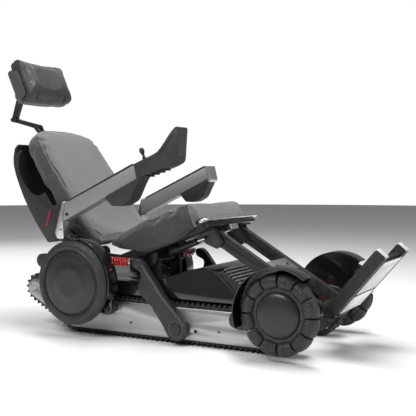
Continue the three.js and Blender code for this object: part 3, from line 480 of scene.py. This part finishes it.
# ------------------------------------------------------------------ camera, light and floor
def stage():
    scene = bpy.context.scene
    camera = bpy.data.cameras.new("camera")
    camera.lens = 64.64
    camera.sensor_width = 36
    camera.clip_end = 100
    eye = bpy.data.objects.new("camera", camera)
    eye.location = Vector((1.737062, -2.438295, 0.581110)) + SHIFT
    eye.rotation_euler = (math.radians(90 - 2.259), 0, math.radians(28.742))
    scene.collection.objects.link(eye)
    scene.camera = eye
    scene.view_settings.view_transform = "Standard"

    world = bpy.data.worlds.new("studio")
    world.use_nodes = True
    tree = world.node_tree
    lit = tree.nodes["Background"]
    lit.inputs["Color"].default_value = (1, 1, 1, 1)
    lit.inputs["Strength"].default_value = 0.2
    seen = tree.nodes.new("ShaderNodeBackground")
    seen.inputs["Strength"].default_value = 1.0
    seen.inputs["Color"].default_value = (1, 1, 1, 1)
    choose = tree.nodes.new("ShaderNodeMixShader")
    rays = tree.nodes.new("ShaderNodeLightPath")
    tree.links.new(rays.outputs["Is Camera Ray"], choose.inputs["Fac"])
    tree.links.new(lit.outputs["Background"], choose.inputs[1])
    tree.links.new(seen.outputs["Background"], choose.inputs[2])
    tree.links.new(choose.outputs["Shader"], tree.nodes["World Output"].inputs["Surface"])
    scene.world = world

    def area(name, place, target, size, power):
        light = bpy.data.lights.new(name, "AREA")
        light.shape = "RECTANGLE"
        light.size, light.size_y = size
        light.energy = power
        obj = bpy.data.objects.new(name, light)
        obj.location = place
        obj.rotation_euler = (Vector(target) - Vector(place)).to_track_quat("-Z", "Y").to_euler()
        scene.collection.objects.link(obj)

    area("key", (-0.6, -3.0, 3.2), (0, 0, 0.4), (2.2, 1.4), 85)
    area("top", (0.2, 0.3, 3.4), (0, 0, 0.3), (2.8, 1.4), 110)
    area("front", (3.4, 0.4, 1.5), (0.2, 0, 0.3), (0.8, 2.0), 22)
    area("back", (-3.0, 1.8, 2.2), (0, 0, 0.4), (1.0, 2.0), 30)

    bm = bmesh.new()
    bmesh.ops.create_circle(bm, cap_ends=True, segments=96, radius=FLOOR_RADIUS)
    mesh = from_bmesh("studio_floor", bm)
    shader = Shader("floor_white", (0.93, 0.93, 0.93), 0.8)
    shader.tint(shader.ramp(shader.noise(3), 0.4, 0.7, 0.0, 0.3), (0.9, 0.9, 0.9))
    mesh.materials.append(shader.material)
    floor = bpy.data.objects.new("studio_floor", mesh)
    floor.location.z = -0.0005
    scene.collection.objects.link(floor)


# ------------------------------------------------------------------ wheels
def rear_wheel(side, sign):
    body = f"rear_wheel_{side}"
    hub = at(0, 0, REAR_AXLE_Z)
    outer = 318
    rim = 118.0
    tyre = [
        (rim, outer - 5), (rim + 3, outer - 1.5), (rim + 6, outer - 3.5), (rim + 9, outer - 0.8),
        (rim + 16, outer), (rim + 24, outer - 2.5), (rim + 31, outer - 8), (rim + 35.5, outer - 15),
        (154.6, outer - 21), (154.6, outer - 26), (rim + 35.5, outer - 31), (rim + 31, outer - 37),
        (rim + 24, outer - 41), (rim + 12, outer - 43), (rim, outer - 40), (rim, outer - 5),
    ]
    obj = lathe(f"rear_tyre_{side}_moulded", [(r, sign * y) for r, y in tyre], hub, body, "rubber_black",
                TYRE, segments=128, degrees=50)
    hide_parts(f"rear_tyre_{side}")
    disc = [
        (0, 318.2), (20, 318.4), (44, 319), (62, 319.4), (63.5, 318.8), (90, 317.6), (103, 316.6),
        (109, 315.2),
        (111.5, 312.5), (114.5, 312.5), (117.2, 309), (117.2, 282), (105, 276), (52, 270.4), (10.6, 270.4),
        (10.6, 300), (0, 300),
    ]
    obj = lathe(f"rear_hub_{side}_moulded", [(r, sign * y) for r, y in disc], hub, body, "alloy_black",
                DISC_BLACK, segments=128, degrees=28)
    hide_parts(f"rear_hub_{side}")


def roller_ring(side, sign):
    """Twelve ribbed barrels end to end round the rim."""
    count, steps, sides = 12, 26, 20
    ring, radial, axial = 106.0, 28.0, 31.6
    centre = at(FRONT_AXLE[0], sign * 286, FRONT_AXLE[1])
    bm = bmesh.new()
    for k in range(count):
        rings = []
        for i in range(steps + 1):
            t = i / steps
            angle = 2 * math.pi * (k + 0.03 + 0.94 * t) / count
            end = abs(2 * t - 1)
            swell = (1 - 0.13 * end ** 2.4) * (1 if end < 0.97 else 0.9)
            rib = 1 - 0.045 * (0.5 + 0.5 * math.cos(2 * math.pi * t * 6)) ** 3
            loop = []
            for j in range(sides):
                b = 2 * math.pi * j / sides
                out = swell * rib
                r = ring + radial * out * math.cos(b) * (1 if math.cos(b) > 0 else 0.94)
                y = axial * out * math.sin(b)
                loop.append(bm.verts.new(centre + Vector((r * math.cos(angle), y, r * math.sin(angle))) * MM))
            rings.append(loop)
        for a, b in zip(rings, rings[1:]):
            for j in range(sides):
                n = (j + 1) % sides
                bm.faces.new((a[j], a[n], b[n], b[j]))
        bm.faces.new(rings[0])
        bm.faces.new(rings[-1])
    return from_bmesh(f"rollers_{side}", bm)


def front_wheel(side, sign):
    body = f"front_wheel_{side}"
    hub = at(FRONT_AXLE[0], 0, FRONT_AXLE[1])
    obj = piece(f"barrel_rollers_{side}", roller_ring(side, sign), body, "rubber_black", ROLLER, degrees=50)
    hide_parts(f"omni_rollers_{side}")
    carrier = [(74, 300), (108, 300), (112, 296), (112, 276), (108, 272), (74, 272), (74, 300)]
    lathe(f"roller_carrier_{side}", [(r, sign * y) for r, y in carrier], hub, body, "alloy_black",
          ALLOY_BLACK)
    cap = [
        (0, 319.8), (24, 319.2), (46, 317.4), (62, 314), (70, 309.6), (73.5, 305), (74.6, 301), (75.8, 300),
        (75.8, 258), (52, 254.2), (10.6, 254.2), (10.6, 302), (0, 302),
    ]
    obj = lathe(f"front_cap_{side}_moulded", [(r, sign * y) for r, y in cap], hub, body, "alloy_black",
                DISC_BLACK, segments=96, degrees=28)
    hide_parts(f"front_hub_{side}")


def arc_shell(bm, centre, r0, r1, start, end, y0, y1, steps=56, lip=3.0):
    """A curved guard with rounded long edges, from angle start to end."""
    section = [
        (r0, y0 + lip), (r0 + 0.6, y0), (r1 - 0.6, y0), (r1, y0 + lip * 0.6), (r1 + 0.2, (y0 + y1) / 2),
        (r1, y1 - lip * 0.6), (r1 - 0.6, y1), (r0 + 0.6, y1), (r0, y1 - lip),
    ]
    loops = []
    for i in range(steps + 1):
        angle = math.radians(mixed(start, end, i / steps))
        loops.append([
            bm.verts.new(centre + Vector((r * math.cos(angle), y, r * math.sin(angle))) * MM)
            for r, y in section
        ])
    count = len(section)
    for a, b in zip(loops, loops[1:]):
        for j in range(count):
            bm.faces.new((a[j], a[(j + 1) % count], b[(j + 1) % count], b[j]))
    bm.faces.new(loops[0])
    bm.faces.new(loops[-1])


def fan(bm, centre, r0, r1, start, end, y0, y1, steps=56):
    """A flat wall between two radii."""
    loops = []
    for i in range(steps + 1):
        angle = math.radians(mixed(start, end, i / steps))
        spoke = [(r0, y0), (r1, y0), (r1, y1), (r0, y1)]
        loops.append([
            bm.verts.new(centre + Vector((r * math.cos(angle), y, r * math.sin(angle))) * MM)
            for r, y in spoke
        ])
    for a, b in zip(loops, loops[1:]):
        for j in range(4):
            bm.faces.new((a[j], a[(j + 1) % 4], b[(j + 1) % 4], b[j]))
    bm.faces.new(loops[0])
    bm.faces.new(loops[-1])


def guards(side, sign):
    bm = bmesh.new()
    hub = at(FRONT_AXLE[0], 0, FRONT_AXLE[1])
    lo, hi = sorted((sign * 321.6, sign * 247.4))
    arc_shell(bm, hub, 147.6, 151.8, 52.5, 199.5, lo, hi)
    lo, hi = sorted((sign * 250.8, sign * 247.4))
    fan(bm, hub, 31, 148.4, 52.5, 204, lo, hi)
    obj = piece(f"front_guard_{side}", from_bmesh(f"front_guard_{side}", bm), f"front_swing_{side}",
                "gloss_black", GLOSS, degrees=32)
    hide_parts(f"front_fender_{side}")
    bm = bmesh.new()
    lo, hi = sorted((sign * 301.6, sign * 247.4))
    arc_shell(bm, at(0, 0, REAR_AXLE_Z), 161.2, 164.8, -13.5, 97.5, lo, hi)
    piece(f"rear_guard_arc_{side}", from_bmesh(f"rear_guard_arc_{side}", bm), "chassis", "gloss_black", GLOSS,
          degrees=32)
    refined(f"rear_fender_{side}", GLOSS, 0.8)
    bm = bmesh.new()
    lo, hi = sorted((sign * 268, sign * 284))
    box_into(bm, (139, lo, 150), (158, hi, 248))
    mesh = bevelled(from_bmesh(f"guard_stay_{side}", bm), 5, 3)
    piece(f"guard_stay_{side}", mesh, "chassis", "matte_black", MATTE)
    knob = [(0, 0), (7.5, 0), (9, 2), (9, 9), (7, 12), (0, 12.6)]
    lathe(f"guard_knob_{side}", knob, at(148, sign * 276, 247), "chassis", "silver", SILVER, axis=(0, 0, 1), segments=32)


# ------------------------------------------------------------------ springs and arms
def coil(name, start, end, radius, wire, turns, body):
    axis = Vector(end) - Vector(start)
    turn = basis(axis)
    steps = int(turns * 22)
    points = []
    for i in range(steps + 1):
        t = i / steps
        angle = 2 * math.pi * turns * t
        ring = Vector((radius * math.cos(angle), radius * math.sin(angle), 0)) * MM
        points.append(Vector(start) + axis * t + turn @ ring)
    return sweep(name, points, wire, body, "spring_red", RED, resolution=5)


def suspension(side, sign):
    body = f"shock_{side}"
    y = sign * 225
    spring = coil(f"shock_coil_{side}", at(129, y, 281), at(203, y, 281), 12.4, 3.0, 6.5, body)
    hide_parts(f"shock_spring_{side}")
    rod = [
        (0, 8), (7, 8), (8, 10), (16, 10), (16, 13.4), (8.4, 14), (8.4, 48), (5, 49), (5, 92), (11, 93),
        (11, 94),
        (15.8, 94.5), (15.8, 100.5), (9, 101), (5, 103), (0, 103),
    ]
    bm = bmesh.new()
    lathe_into(bm, rod, at(112, y, 281), (1, 0, 0), 40)
    eye = [(6.6, -8.8), (11, -8.8), (11, 8.8), (6.6, 8.8), (6.6, -8.8)]
    lathe_into(bm, eye, at(112, y, 281), (0, 1, 0), 32)
    obj = piece(f"shock_damper_{side}", from_bmesh(f"shock_damper_{side}", bm), body, "steel", STEEL)
    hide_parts(f"shock_rod_{side}")
    refined(f"lift_arm_{side}", ARM_BLACK, 3.0, 3)
    face = -243 if sign < 0 else 243
    arm = f"lift_arm_{side}"
    out = (0, sign, 0)
    lathe(f"lift_boss_{side}", [(16, -1), (30, -1), (31, 1.0), (26, 2.2), (24, 2.0), (16, 1.2), (16, -1)],
          at(405, face, 60), arm, "satin_black", PANEL_GREY, axis=out, segments=48)
    lathe(f"lift_knob_{side}", [(0, -1), (15, -1), (16.5, 1.6), (15, 4), (9, 5.6), (0, 6)],
          at(243, face, 278), arm, "satin_black", ARM_BLACK, axis=out, segments=40)
    painted_edge_highlight(side, sign)
    refined(f"rear_swing_arm_{side}", SATIN, 1.6)
    refined(f"front_swing_arm_{side}", SATIN, 3.0, 3)
    for n, (x, z) in enumerate(((30, 200), (112, 270))):
        screw(f"swing_screw_{side}_{n}", at(x + 40 * (n == 0), sign * 259, z), out, f"rear_swing_{side}", 6)


def painted_edge_highlight(side, sign):
    """A grey strip down the front edge of the lift arm: a painted highlight standing in for the light along
    that edge.
    """
    bm = bmesh.new()
    lo, hi = sorted((sign * 243.4, sign * 241.0))
    corners = [(262, 284), (351, 169), (444, 76), (438, 70), (345, 163), (256, 276)]
    low = [bm.verts.new(at(x, lo, z)) for x, z in corners]
    high = [bm.verts.new(at(x, hi, z)) for x, z in corners]
    bm.faces.new(low)
    bm.faces.new(high)
    for i in range(len(corners)):
        j = (i + 1) % len(corners)
        bm.faces.new((low[i], low[j], high[j], high[i]))
    mesh = from_bmesh(f"lift_edge_highlight_{side}", bm)
    # grey strip piece: painted highlight along the arm's front edge
    piece(f"lift_edge_highlight_{side}", mesh, f"lift_arm_{side}", "satin_black", PANEL_GREY)


def screw(name, place, out, body, radius=5.0, material=None):
    """A button-head screw with a hexagon socket."""
    bm = bmesh.new()
    r = radius
    head = [(0, -1), (r, -1), (r, 0.3 * r), (r * 0.86, 0.5 * r), (r * 0.56, 0.56 * r)]
    lathe_into(bm, head, place, out, 28)
    bmesh.ops.recalc_face_normals(bm, faces=bm.faces)
    lathe_into(bm, [(r * 0.5, 0.56 * r), (r * 0.46, 0.2 * r), (0, 0.2 * r)], place, out, 6)
    return piece(name, from_bmesh(name, bm), body, "steel", material or STEEL)


# ------------------------------------------------------------------ tracks and chassis
def tracks(side, sign):
    plate = refined(f"track_frame_{side}", ALUMINIUM, 1.2)
    plate.data.materials.append(SATIN)
    for polygon in plate.data.polygons:
        centre = polygon.center
        if abs(centre.y) < 0.2105 or abs(centre.y) > 0.2165:
            polygon.material_index = 1
    refined(f"track_belt_{side}", RUBBER, 0.7, 1)
    refined(f"drive_sprocket_{side}", CASTING, 0.8)
    refined(f"track_idler_{side}", SATIN, 0.8)
    out = (0, sign, 0)
    face = sign * 215
    spots = (
        (-200, 112), (-120, 62), (20, 100), (200, 60), (300, 112), (560, 60), (610, 108), (700, 62),
    )
    for n, (x, z) in enumerate(spots):
        screw(f"track_screw_{side}_{n}", at(x, face, z), out, "chassis", 4.0, SATIN)
    cover = [(0, -1), (25, -1), (26, 1), (22, 2.4), (14.5, 2.6), (14, 1), (0, 0.4)]
    lathe(f"idler_cap_{side}", cover, at(828, face, 80), "chassis", "alloy_black", ALLOY_BLACK, axis=out)


def chassis():
    refined("chassis_frame", SATIN, 1.5)
    refined("battery_pack", BATTERY, 3.0, 3)
    cover = refined("chassis_cover", GLOSS, 5.0, 4, 24)
    shade(cover.data, 60)
    refined("rear_bumper_bar", MATTE, 1.5)
    for sign in (-1, 1):
        end = [(0, -2), (24, -2), (26.6, 0), (26.6, 1.5), (22, 4), (12, 5), (0, 5.2)]
        lathe(f"bar_cap_{'right' if sign < 0 else 'left'}", end, at(-225, sign * 204, 262), "chassis",
              "matte_black", SHELL_BLACK, axis=(0, sign, 0))
    grille()


def grille():
    """Light ribs across the front slope of the cover."""
    bm = bmesh.new()
    start, end = Vector((532, 0, 263)), Vector((628, 0, 183))
    along = (end - start).normalized()
    place = tilted((start.x, start.z), math.degrees(math.atan2(along.z, along.x)))
    length = (end - start).length
    count = 9
    for i in range(count):
        x = 4 + i * (length - 12) / (count - 1)
        box_into(bm, (x - 3.4, -128 + i * 2, -1.5), (x + 3.4, 128 - i * 2, 4.2), place)
    mesh = bevelled(from_bmesh("cover_grille", bm), 1.2, 2)
    piece("cover_grille", mesh, "chassis", "silver", GRILLE)


# ------------------------------------------------------------------ soft goods
def start_pad(node, shrink, voxel):
    mesh = node_mesh(node)
    obj = scratch(mesh)
    remesh = obj.modifiers.new("remesh", "REMESH")
    remesh.mode = "VOXEL"
    remesh.voxel_size = voxel * MM
    mesh = evaluated(obj)
    if shrink:
        mesh.update()
        shift = [v.normal * (-shrink * MM) for v in mesh.vertices]
        for v, move in zip(mesh.vertices, shift):
            v.co += move
    obj = scratch(mesh)
    return obj


def simulate(objects, pressure=4.0, frames=20):
    scene = bpy.context.scene
    for obj in objects:
        cloth = obj.modifiers.new("cloth", "CLOTH")
        settings = cloth.settings
        settings.quality = 5
        settings.mass = 0.3
        settings.tension_stiffness = 22
        settings.compression_stiffness = 22
        settings.shear_stiffness = 8
        settings.bending_stiffness = 1.2
        settings.use_pressure = True
        settings.uniform_pressure_force = pressure
        settings.effector_weights.gravity = 0
        cloth.point_cache.frame_start = 1
        cloth.point_cache.frame_end = frames
    scene.frame_start = 1
    scene.frame_end = frames
    for number in range(1, frames + 1):
        scene.frame_set(number)
    made = [evaluated(obj) for obj in objects]
    scene.frame_set(1)
    return made


def pad(node, name, mesh, before, cap, body, materials, paint, sculpt):
    """Caps how far the cloth moved, adds a subdivision, then seams and channels."""
    for v, rest in zip(mesh.vertices, before):
        move = v.co - rest
        if move.length > cap * MM:
            v.co = rest + move.normalized() * cap * MM
    mesh.materials.clear()
    obj = scratch(mesh)
    obj.modifiers.new("smooth", "SMOOTH").iterations = 3
    obj.modifiers.new("subdivision", "SUBSURF").levels = 1
    mesh = evaluated(obj)
    mesh.update()
    normals = [v.normal.copy() for v in mesh.vertices]
    for v, normal in zip(mesh.vertices, normals):
        v.co += normal * sculpt(v.co, normal) * MM
    mesh.update()
    for material in materials:
        mesh.materials.append(material)
    for polygon in mesh.polygons:
        polygon.material_index = paint(polygon.center, polygon.normal)
    obj = bpy.data.objects.new(name, mesh)
    bpy.context.scene.collection.objects.link(obj)
    mesh.polygons.foreach_set("use_smooth", [True] * len(mesh.polygons))
    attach(obj, body)
    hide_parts(node)
    return obj


def groove(distance, width, depth):
    return -depth * math.exp(-(distance / width) ** 2)


def seat_local(co):
    return (SEAT.inverted() @ co) / MM


def back_local(co):
    return (BACK.inverted() @ co) / MM


def head_local(co):
    return (HEAD.inverted() @ co) / MM


def seat_sculpt(co, normal):
    p = seat_local(co)
    top = smooth((p.z + 50) / 40)
    lift = groove(abs(p.y) - 176, 4.0, 3.0) * top
    lift += groove(p.x - 372, 4.0, 2.0) * top * (1 if abs(p.y) < 190 else 0)
    lift += 1.2 * noise.noise(co * 16)
    dish = -7 * math.exp(-((p.x - 190) / 130) ** 2) * math.exp(-(p.y / 120) ** 2)
    return lift + dish * top


def seat_paint(centre, normal):
    p = seat_local(centre)
    return 1 if abs(p.y) > 176 and p.x < 352 and (abs(normal.y) > 0.35 or abs(p.y) > 190) or p.z < -76 else 0


def back_sculpt(co, normal):
    p = back_local(co)
    front = smooth((p.x + 40) / 30)
    edge = 186 - max(0, p.z - 330) * 0.18
    lift = groove(abs(p.y) - edge, 4.5, 3.2) * front
    lift += 5.0 * math.exp(-((abs(p.y) - 150) / 34) ** 2) * front
    lift += 5.0 * math.exp(-((p.z - 120) / 90) ** 2) * math.exp(-(p.y / 150) ** 2) * front
    lift += 1.2 * noise.noise(co * 14)
    return lift


def back_paint(centre, normal):
    p = back_local(centre)
    edge = 188 - max(0, p.z - 330) * 0.18
    return 1 if p.x < -30 or abs(p.y) > edge or abs(normal.y) > 0.75 else 0


def head_sculpt(co, normal):
    p = head_local(co)
    front = smooth((p.x - 5) / 20)
    lift = groove(abs(p.y) - 84, 5.0, 6.5) * front
    lift += groove(p.x + 2, 3.0, 2.5) * smooth((abs(p.y) - 90) / 20)
    return lift + 0.9 * noise.noise(co * 20)


def cushions():
    jobs = [
        ("seat_cushion", "seat_upholstery", 4.0, 6.0, 10.0, "seat", "fabric_grey", (FABRIC, KNIT), seat_paint,
         seat_sculpt, 0.8),
        ("back_cushion", "back_upholstery", 4.0, 6.0, 9.0, "backrest", "fabric_grey", (FABRIC, BOLSTER),
         back_paint, back_sculpt, 0.75),
        ("headrest_pad", "headrest_upholstery", 4.0, 4.6, 9.0, "headrest", "leather_dark", (LEATHER,),
         lambda centre, normal: 0, head_sculpt, 0.9),
    ]
    started = [start_pad(job[0], job[2], job[3] * (1.0)) for job in jobs]
    before = [[v.co.copy() for v in obj.data.vertices] for obj in started]
    meshes = simulate(started)
    for job, mesh, rest in zip(jobs, meshes, before):
        node, name, _, _, cap, body, slot, materials, paint, sculpt, fill = job
        pad(node, name, mesh, rest, cap, body, materials, paint, sculpt)


# ------------------------------------------------------------------ seat, back and head fittings
def seat_fittings():
    refined("seat_frame", ALLOY_BLACK, 1.5)
    refined("seat_trim", TRIM, 5.0, 4)
    for side, sign in SIDES:
        refined(f"arm_bracket_{side}", SILVER, 3.0, 3)
        screw(f"bracket_screw_{side}", at(-66, sign * 284, 392), (0, sign, 0), "seat", 5)
    refined("legrest_actuator_body", ALLOY_BLACK, 1.5)
    refined("legrest_actuator_rod", STEEL, 0.8)
    motor = [(0, 0), (14, 0), (17, 2), (17, 5), (15.5, 7), (15.5, 60), (17, 62), (17, 66), (12, 70), (0, 70)]
    lathe("tilt_motor", motor, local(SEAT, 150, -60, -116), "seat", "alloy_black", PANEL_GREY,
          axis=SEAT.to_3x3() @ Vector((1, 0, 0)))
    bm = bmesh.new()
    box_into(bm, (392, -188, -92), (408, 188, -75), SEAT)
    mesh = bevelled(from_bmesh("trim_shadow_bar", bm), 3, 3)
    piece("trim_shadow_bar", mesh, "seat", "alloy_black", ALLOY_BLACK)
    bm = bmesh.new()
    box_into(bm, (372, -36, -112), (412, 24, -92), SEAT)
    mesh = bevelled(from_bmesh("latch_block", bm), 3, 3)
    piece("latch_block", mesh, "seat", "silver", SILVER)


def back_fittings():
    shell = refined("back_shell", SHELL_BLACK, 2.4, 3, 30)
    shade(shell.data, 50)
    refined("headrest_mast", SATIN, 1.2)
    refined("headrest_link", SATIN, 1.4)
    refined("headrest_post", SATIN, 1.4)
    refined("headrest_shell", HEAD_SHELL, 2.5, 3, 30)
    for side, sign in SIDES:
        bm = bmesh.new()
        lo, hi = sorted((sign * 232.6, sign * 230.5))
        corners = [(-163, 462), (-157, 464), (-174, 400), (-180, 398)]
        low = [bm.verts.new(at(x, lo, z)) for x, z in corners]
        high = [bm.verts.new(at(x, hi, z)) for x, z in corners]
        bm.faces.new(low)
        bm.faces.new(high)
        for i in range(4):
            j = (i + 1) % 4
            bm.faces.new((low[i], low[j], high[j], high[i]))
        mesh = from_bmesh(f"accent_line_{side}", bm)
        piece(f"accent_line_{side}", mesh, "backrest", "spring_red", RED_LINE)
    for sign in (-1, 1):
        name = "right" if sign < 0 else "left"
        screw(f"knuckle_screw_{name}", at(-550, sign * 18, 833), (0, sign, 0), "headrest_link", 5, SATIN)


def arms():
    for side, sign in SIDES:
        refined(f"armrest_plate_{side}", ARM_PLATE, 1.6)
        refined(f"armrest_pad_{side}", PAD_BLACK, 1.6, 3)
        screw(f"arm_pivot_{side}", at(-36, sign * 284, 450), (0, sign, 0), f"armrest_{side}", 6, SATIN)
    housing = refined("armrest_housing_left", MATTE, 2.2, 3)
    housing.data.materials.append(SILVER)
    for polygon in housing.data.polygons:
        x = (polygon.center - SHIFT).x / MM
        z = (polygon.center - SHIFT).z / MM
        if x > 262 and z > 566:
            polygon.material_index = 1
    refined("controller_housing", HOUSING, 4.0, 3, 30)
    refined("joystick_gimbal", STEEL, 0.4, 1)
    stick = tilted((297, 630), 22)
    stick.translation.y = -258 * MM
    up = stick.to_3x3() @ Vector((0, 0, 1))
    profile = [
        (0, -5.5), (4.8, -5), (4.8, 16), (8.8, 19), (8.2, 20.6), (6.6, 21.4), (8.0, 23), (7.2, 24.6),
        (5.4, 25.4),
        (6.4, 27.2), (4.6, 29.4), (4.2, 37), (6.6, 42), (8.6, 46), (9.2, 51), (8.8, 56), (6.6, 60.5),
        (3, 62.6), (0, 63),
    ]
    obj = lathe("joystick_knob", profile, stick.translation, "joystick", "matte_black", MATTE, axis=up,
                segments=40, degrees=40)
    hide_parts("joystick")
    refined("mode_button", CAP_WHITE, 1.2, 2)
    controller_details()


def controller_details():
    body = "armrest_right"
    slope = math.degrees(math.atan2(753 - 648, 445 - 438))
    front = tilted((438, 648), slope)
    bm = bmesh.new()
    box_into(bm, (8, -285, -1.0), (98, -231, 1.1), front)
    mesh = bevelled(from_bmesh("controller_face", bm), 3, 3)
    piece("controller_face", mesh, body, "matte_black", PANEL_GREY)
    lathe("controller_port", [(0, 0.4), (4.6, 0.4), (5.8, 1.2), (6.6, 0.6), (6.6, -1), (0, -1)],
          local(front, 52, -258, 1.2), body, "matte_black", GLASS_BLACK,
          axis=front.to_3x3() @ Vector((0, 0, 1)), segments=32)
    rise = math.degrees(math.atan2(741 - 671, 417 - 363))
    back = tilted((363, 671), rise)
    bm = bmesh.new()
    box_into(bm, (18, -283, -1.0), (80, -233, 1.6), back)
    piece("controller_display", bevelled(from_bmesh("controller_display", bm), 2.5, 3), body, "gloss_black",
          GLASS_BLACK)
    for n in range(4):
        lathe(f"controller_key_{n}", [(0, 2.6), (4, 2.6), (5, 1.6), (5, -1), (0, -1)],
              local(back, 8, -278 + 13.4 * n, 0), body, "matte_black", PANEL_GREY,
              axis=back.to_3x3() @ Vector((0, 0, 1)), segments=24)
    bm = bmesh.new()
    for x in (300, 322, 344, 366):
        z = 586 + (x - 292) * (624 - 586) / (410 - 292)
        box_into(bm, (x, -286, z - 1.6), (x + 14, -230, z + 3))
    mesh = bevelled(from_bmesh("controller_under_ribs", bm), 1, 2)
    piece("controller_under_ribs", mesh, body, "matte_black", MATTE)
    bm = bmesh.new()
    for y in (-290.6, -226.0):
        box_into(bm, (0, y, -3), (88, y + 0.6, -1.6), tilted((366, 664), 50))
    piece("controller_seams", from_bmesh("controller_seams", bm), body, "matte_black", GLASS_BLACK)


def leg_fittings():
    refined("legrest_frame", ALLOY_BLACK, 2.2, 3)
    refined("legrest_cross_plate", SILVER, 1.6)
    for n, y in enumerate((-44, 44)):
        up = LEG.to_3x3() @ Vector((0, 0, 1))
        screw(f"plate_screw_{n}", local(LEG, 229, y, 20), up, "legrest", 6, SATIN)
    bm = bmesh.new()
    for y in (-100, 100):
        box_into(bm, (-2, y - 12.2, 20.6), (440, y - 6.4, 22.8), LEG)
        box_into(bm, (-2, y + 6.4, 20.6), (440, y + 12.2, 22.8), LEG)
    piece("legrest_edges", bevelled(from_bmesh("legrest_edges", bm), 0.8, 2), "legrest", "silver", PANEL_GREY)
    refined("footboard", MATTE, 3.0, 3)
    bm = bmesh.new()
    for y in (-130, 130):
        box_into(bm, (279, y - 19.6, -13), (290, y + 19.6, 25.4), FOOT)
    piece("rail_end_caps", bevelled(from_bmesh("rail_end_caps", bm), 3, 3), "footboard", "silver", CAP_WHITE)
    bm = bmesh.new()
    box_into(bm, (34, -108, -17.2), (112, 108, -13.4), FOOT)
    for y in (-98, -70, -42, -14, 14, 42, 70, 98):
        box_into(bm, (118, y - 7.4, -16.4), (250, y + 7.4, -13.4), FOOT)
    box_into(bm, (246, -108, -16.8), (264, 108, -13.4), FOOT)
    mesh = bevelled(from_bmesh("footboard_underplate", bm), 1.4, 2)
    piece("footboard_underplate", mesh, "footboard", "silver", SILVER)
    for side, sign in SIDES:
        y = sign * 186
        coil(f"front_coil_{side}", at(756, y, 186), at(800, y, 132), 13, 3.2, 5, "chassis")


stage()
for side, sign in SIDES:
    rear_wheel(side, sign)
    front_wheel(side, sign)
    guards(side, sign)
    suspension(side, sign)
    tracks(side, sign)
chassis()
seat_fittings()
back_fittings()
arms()
leg_fittings()
cushions()
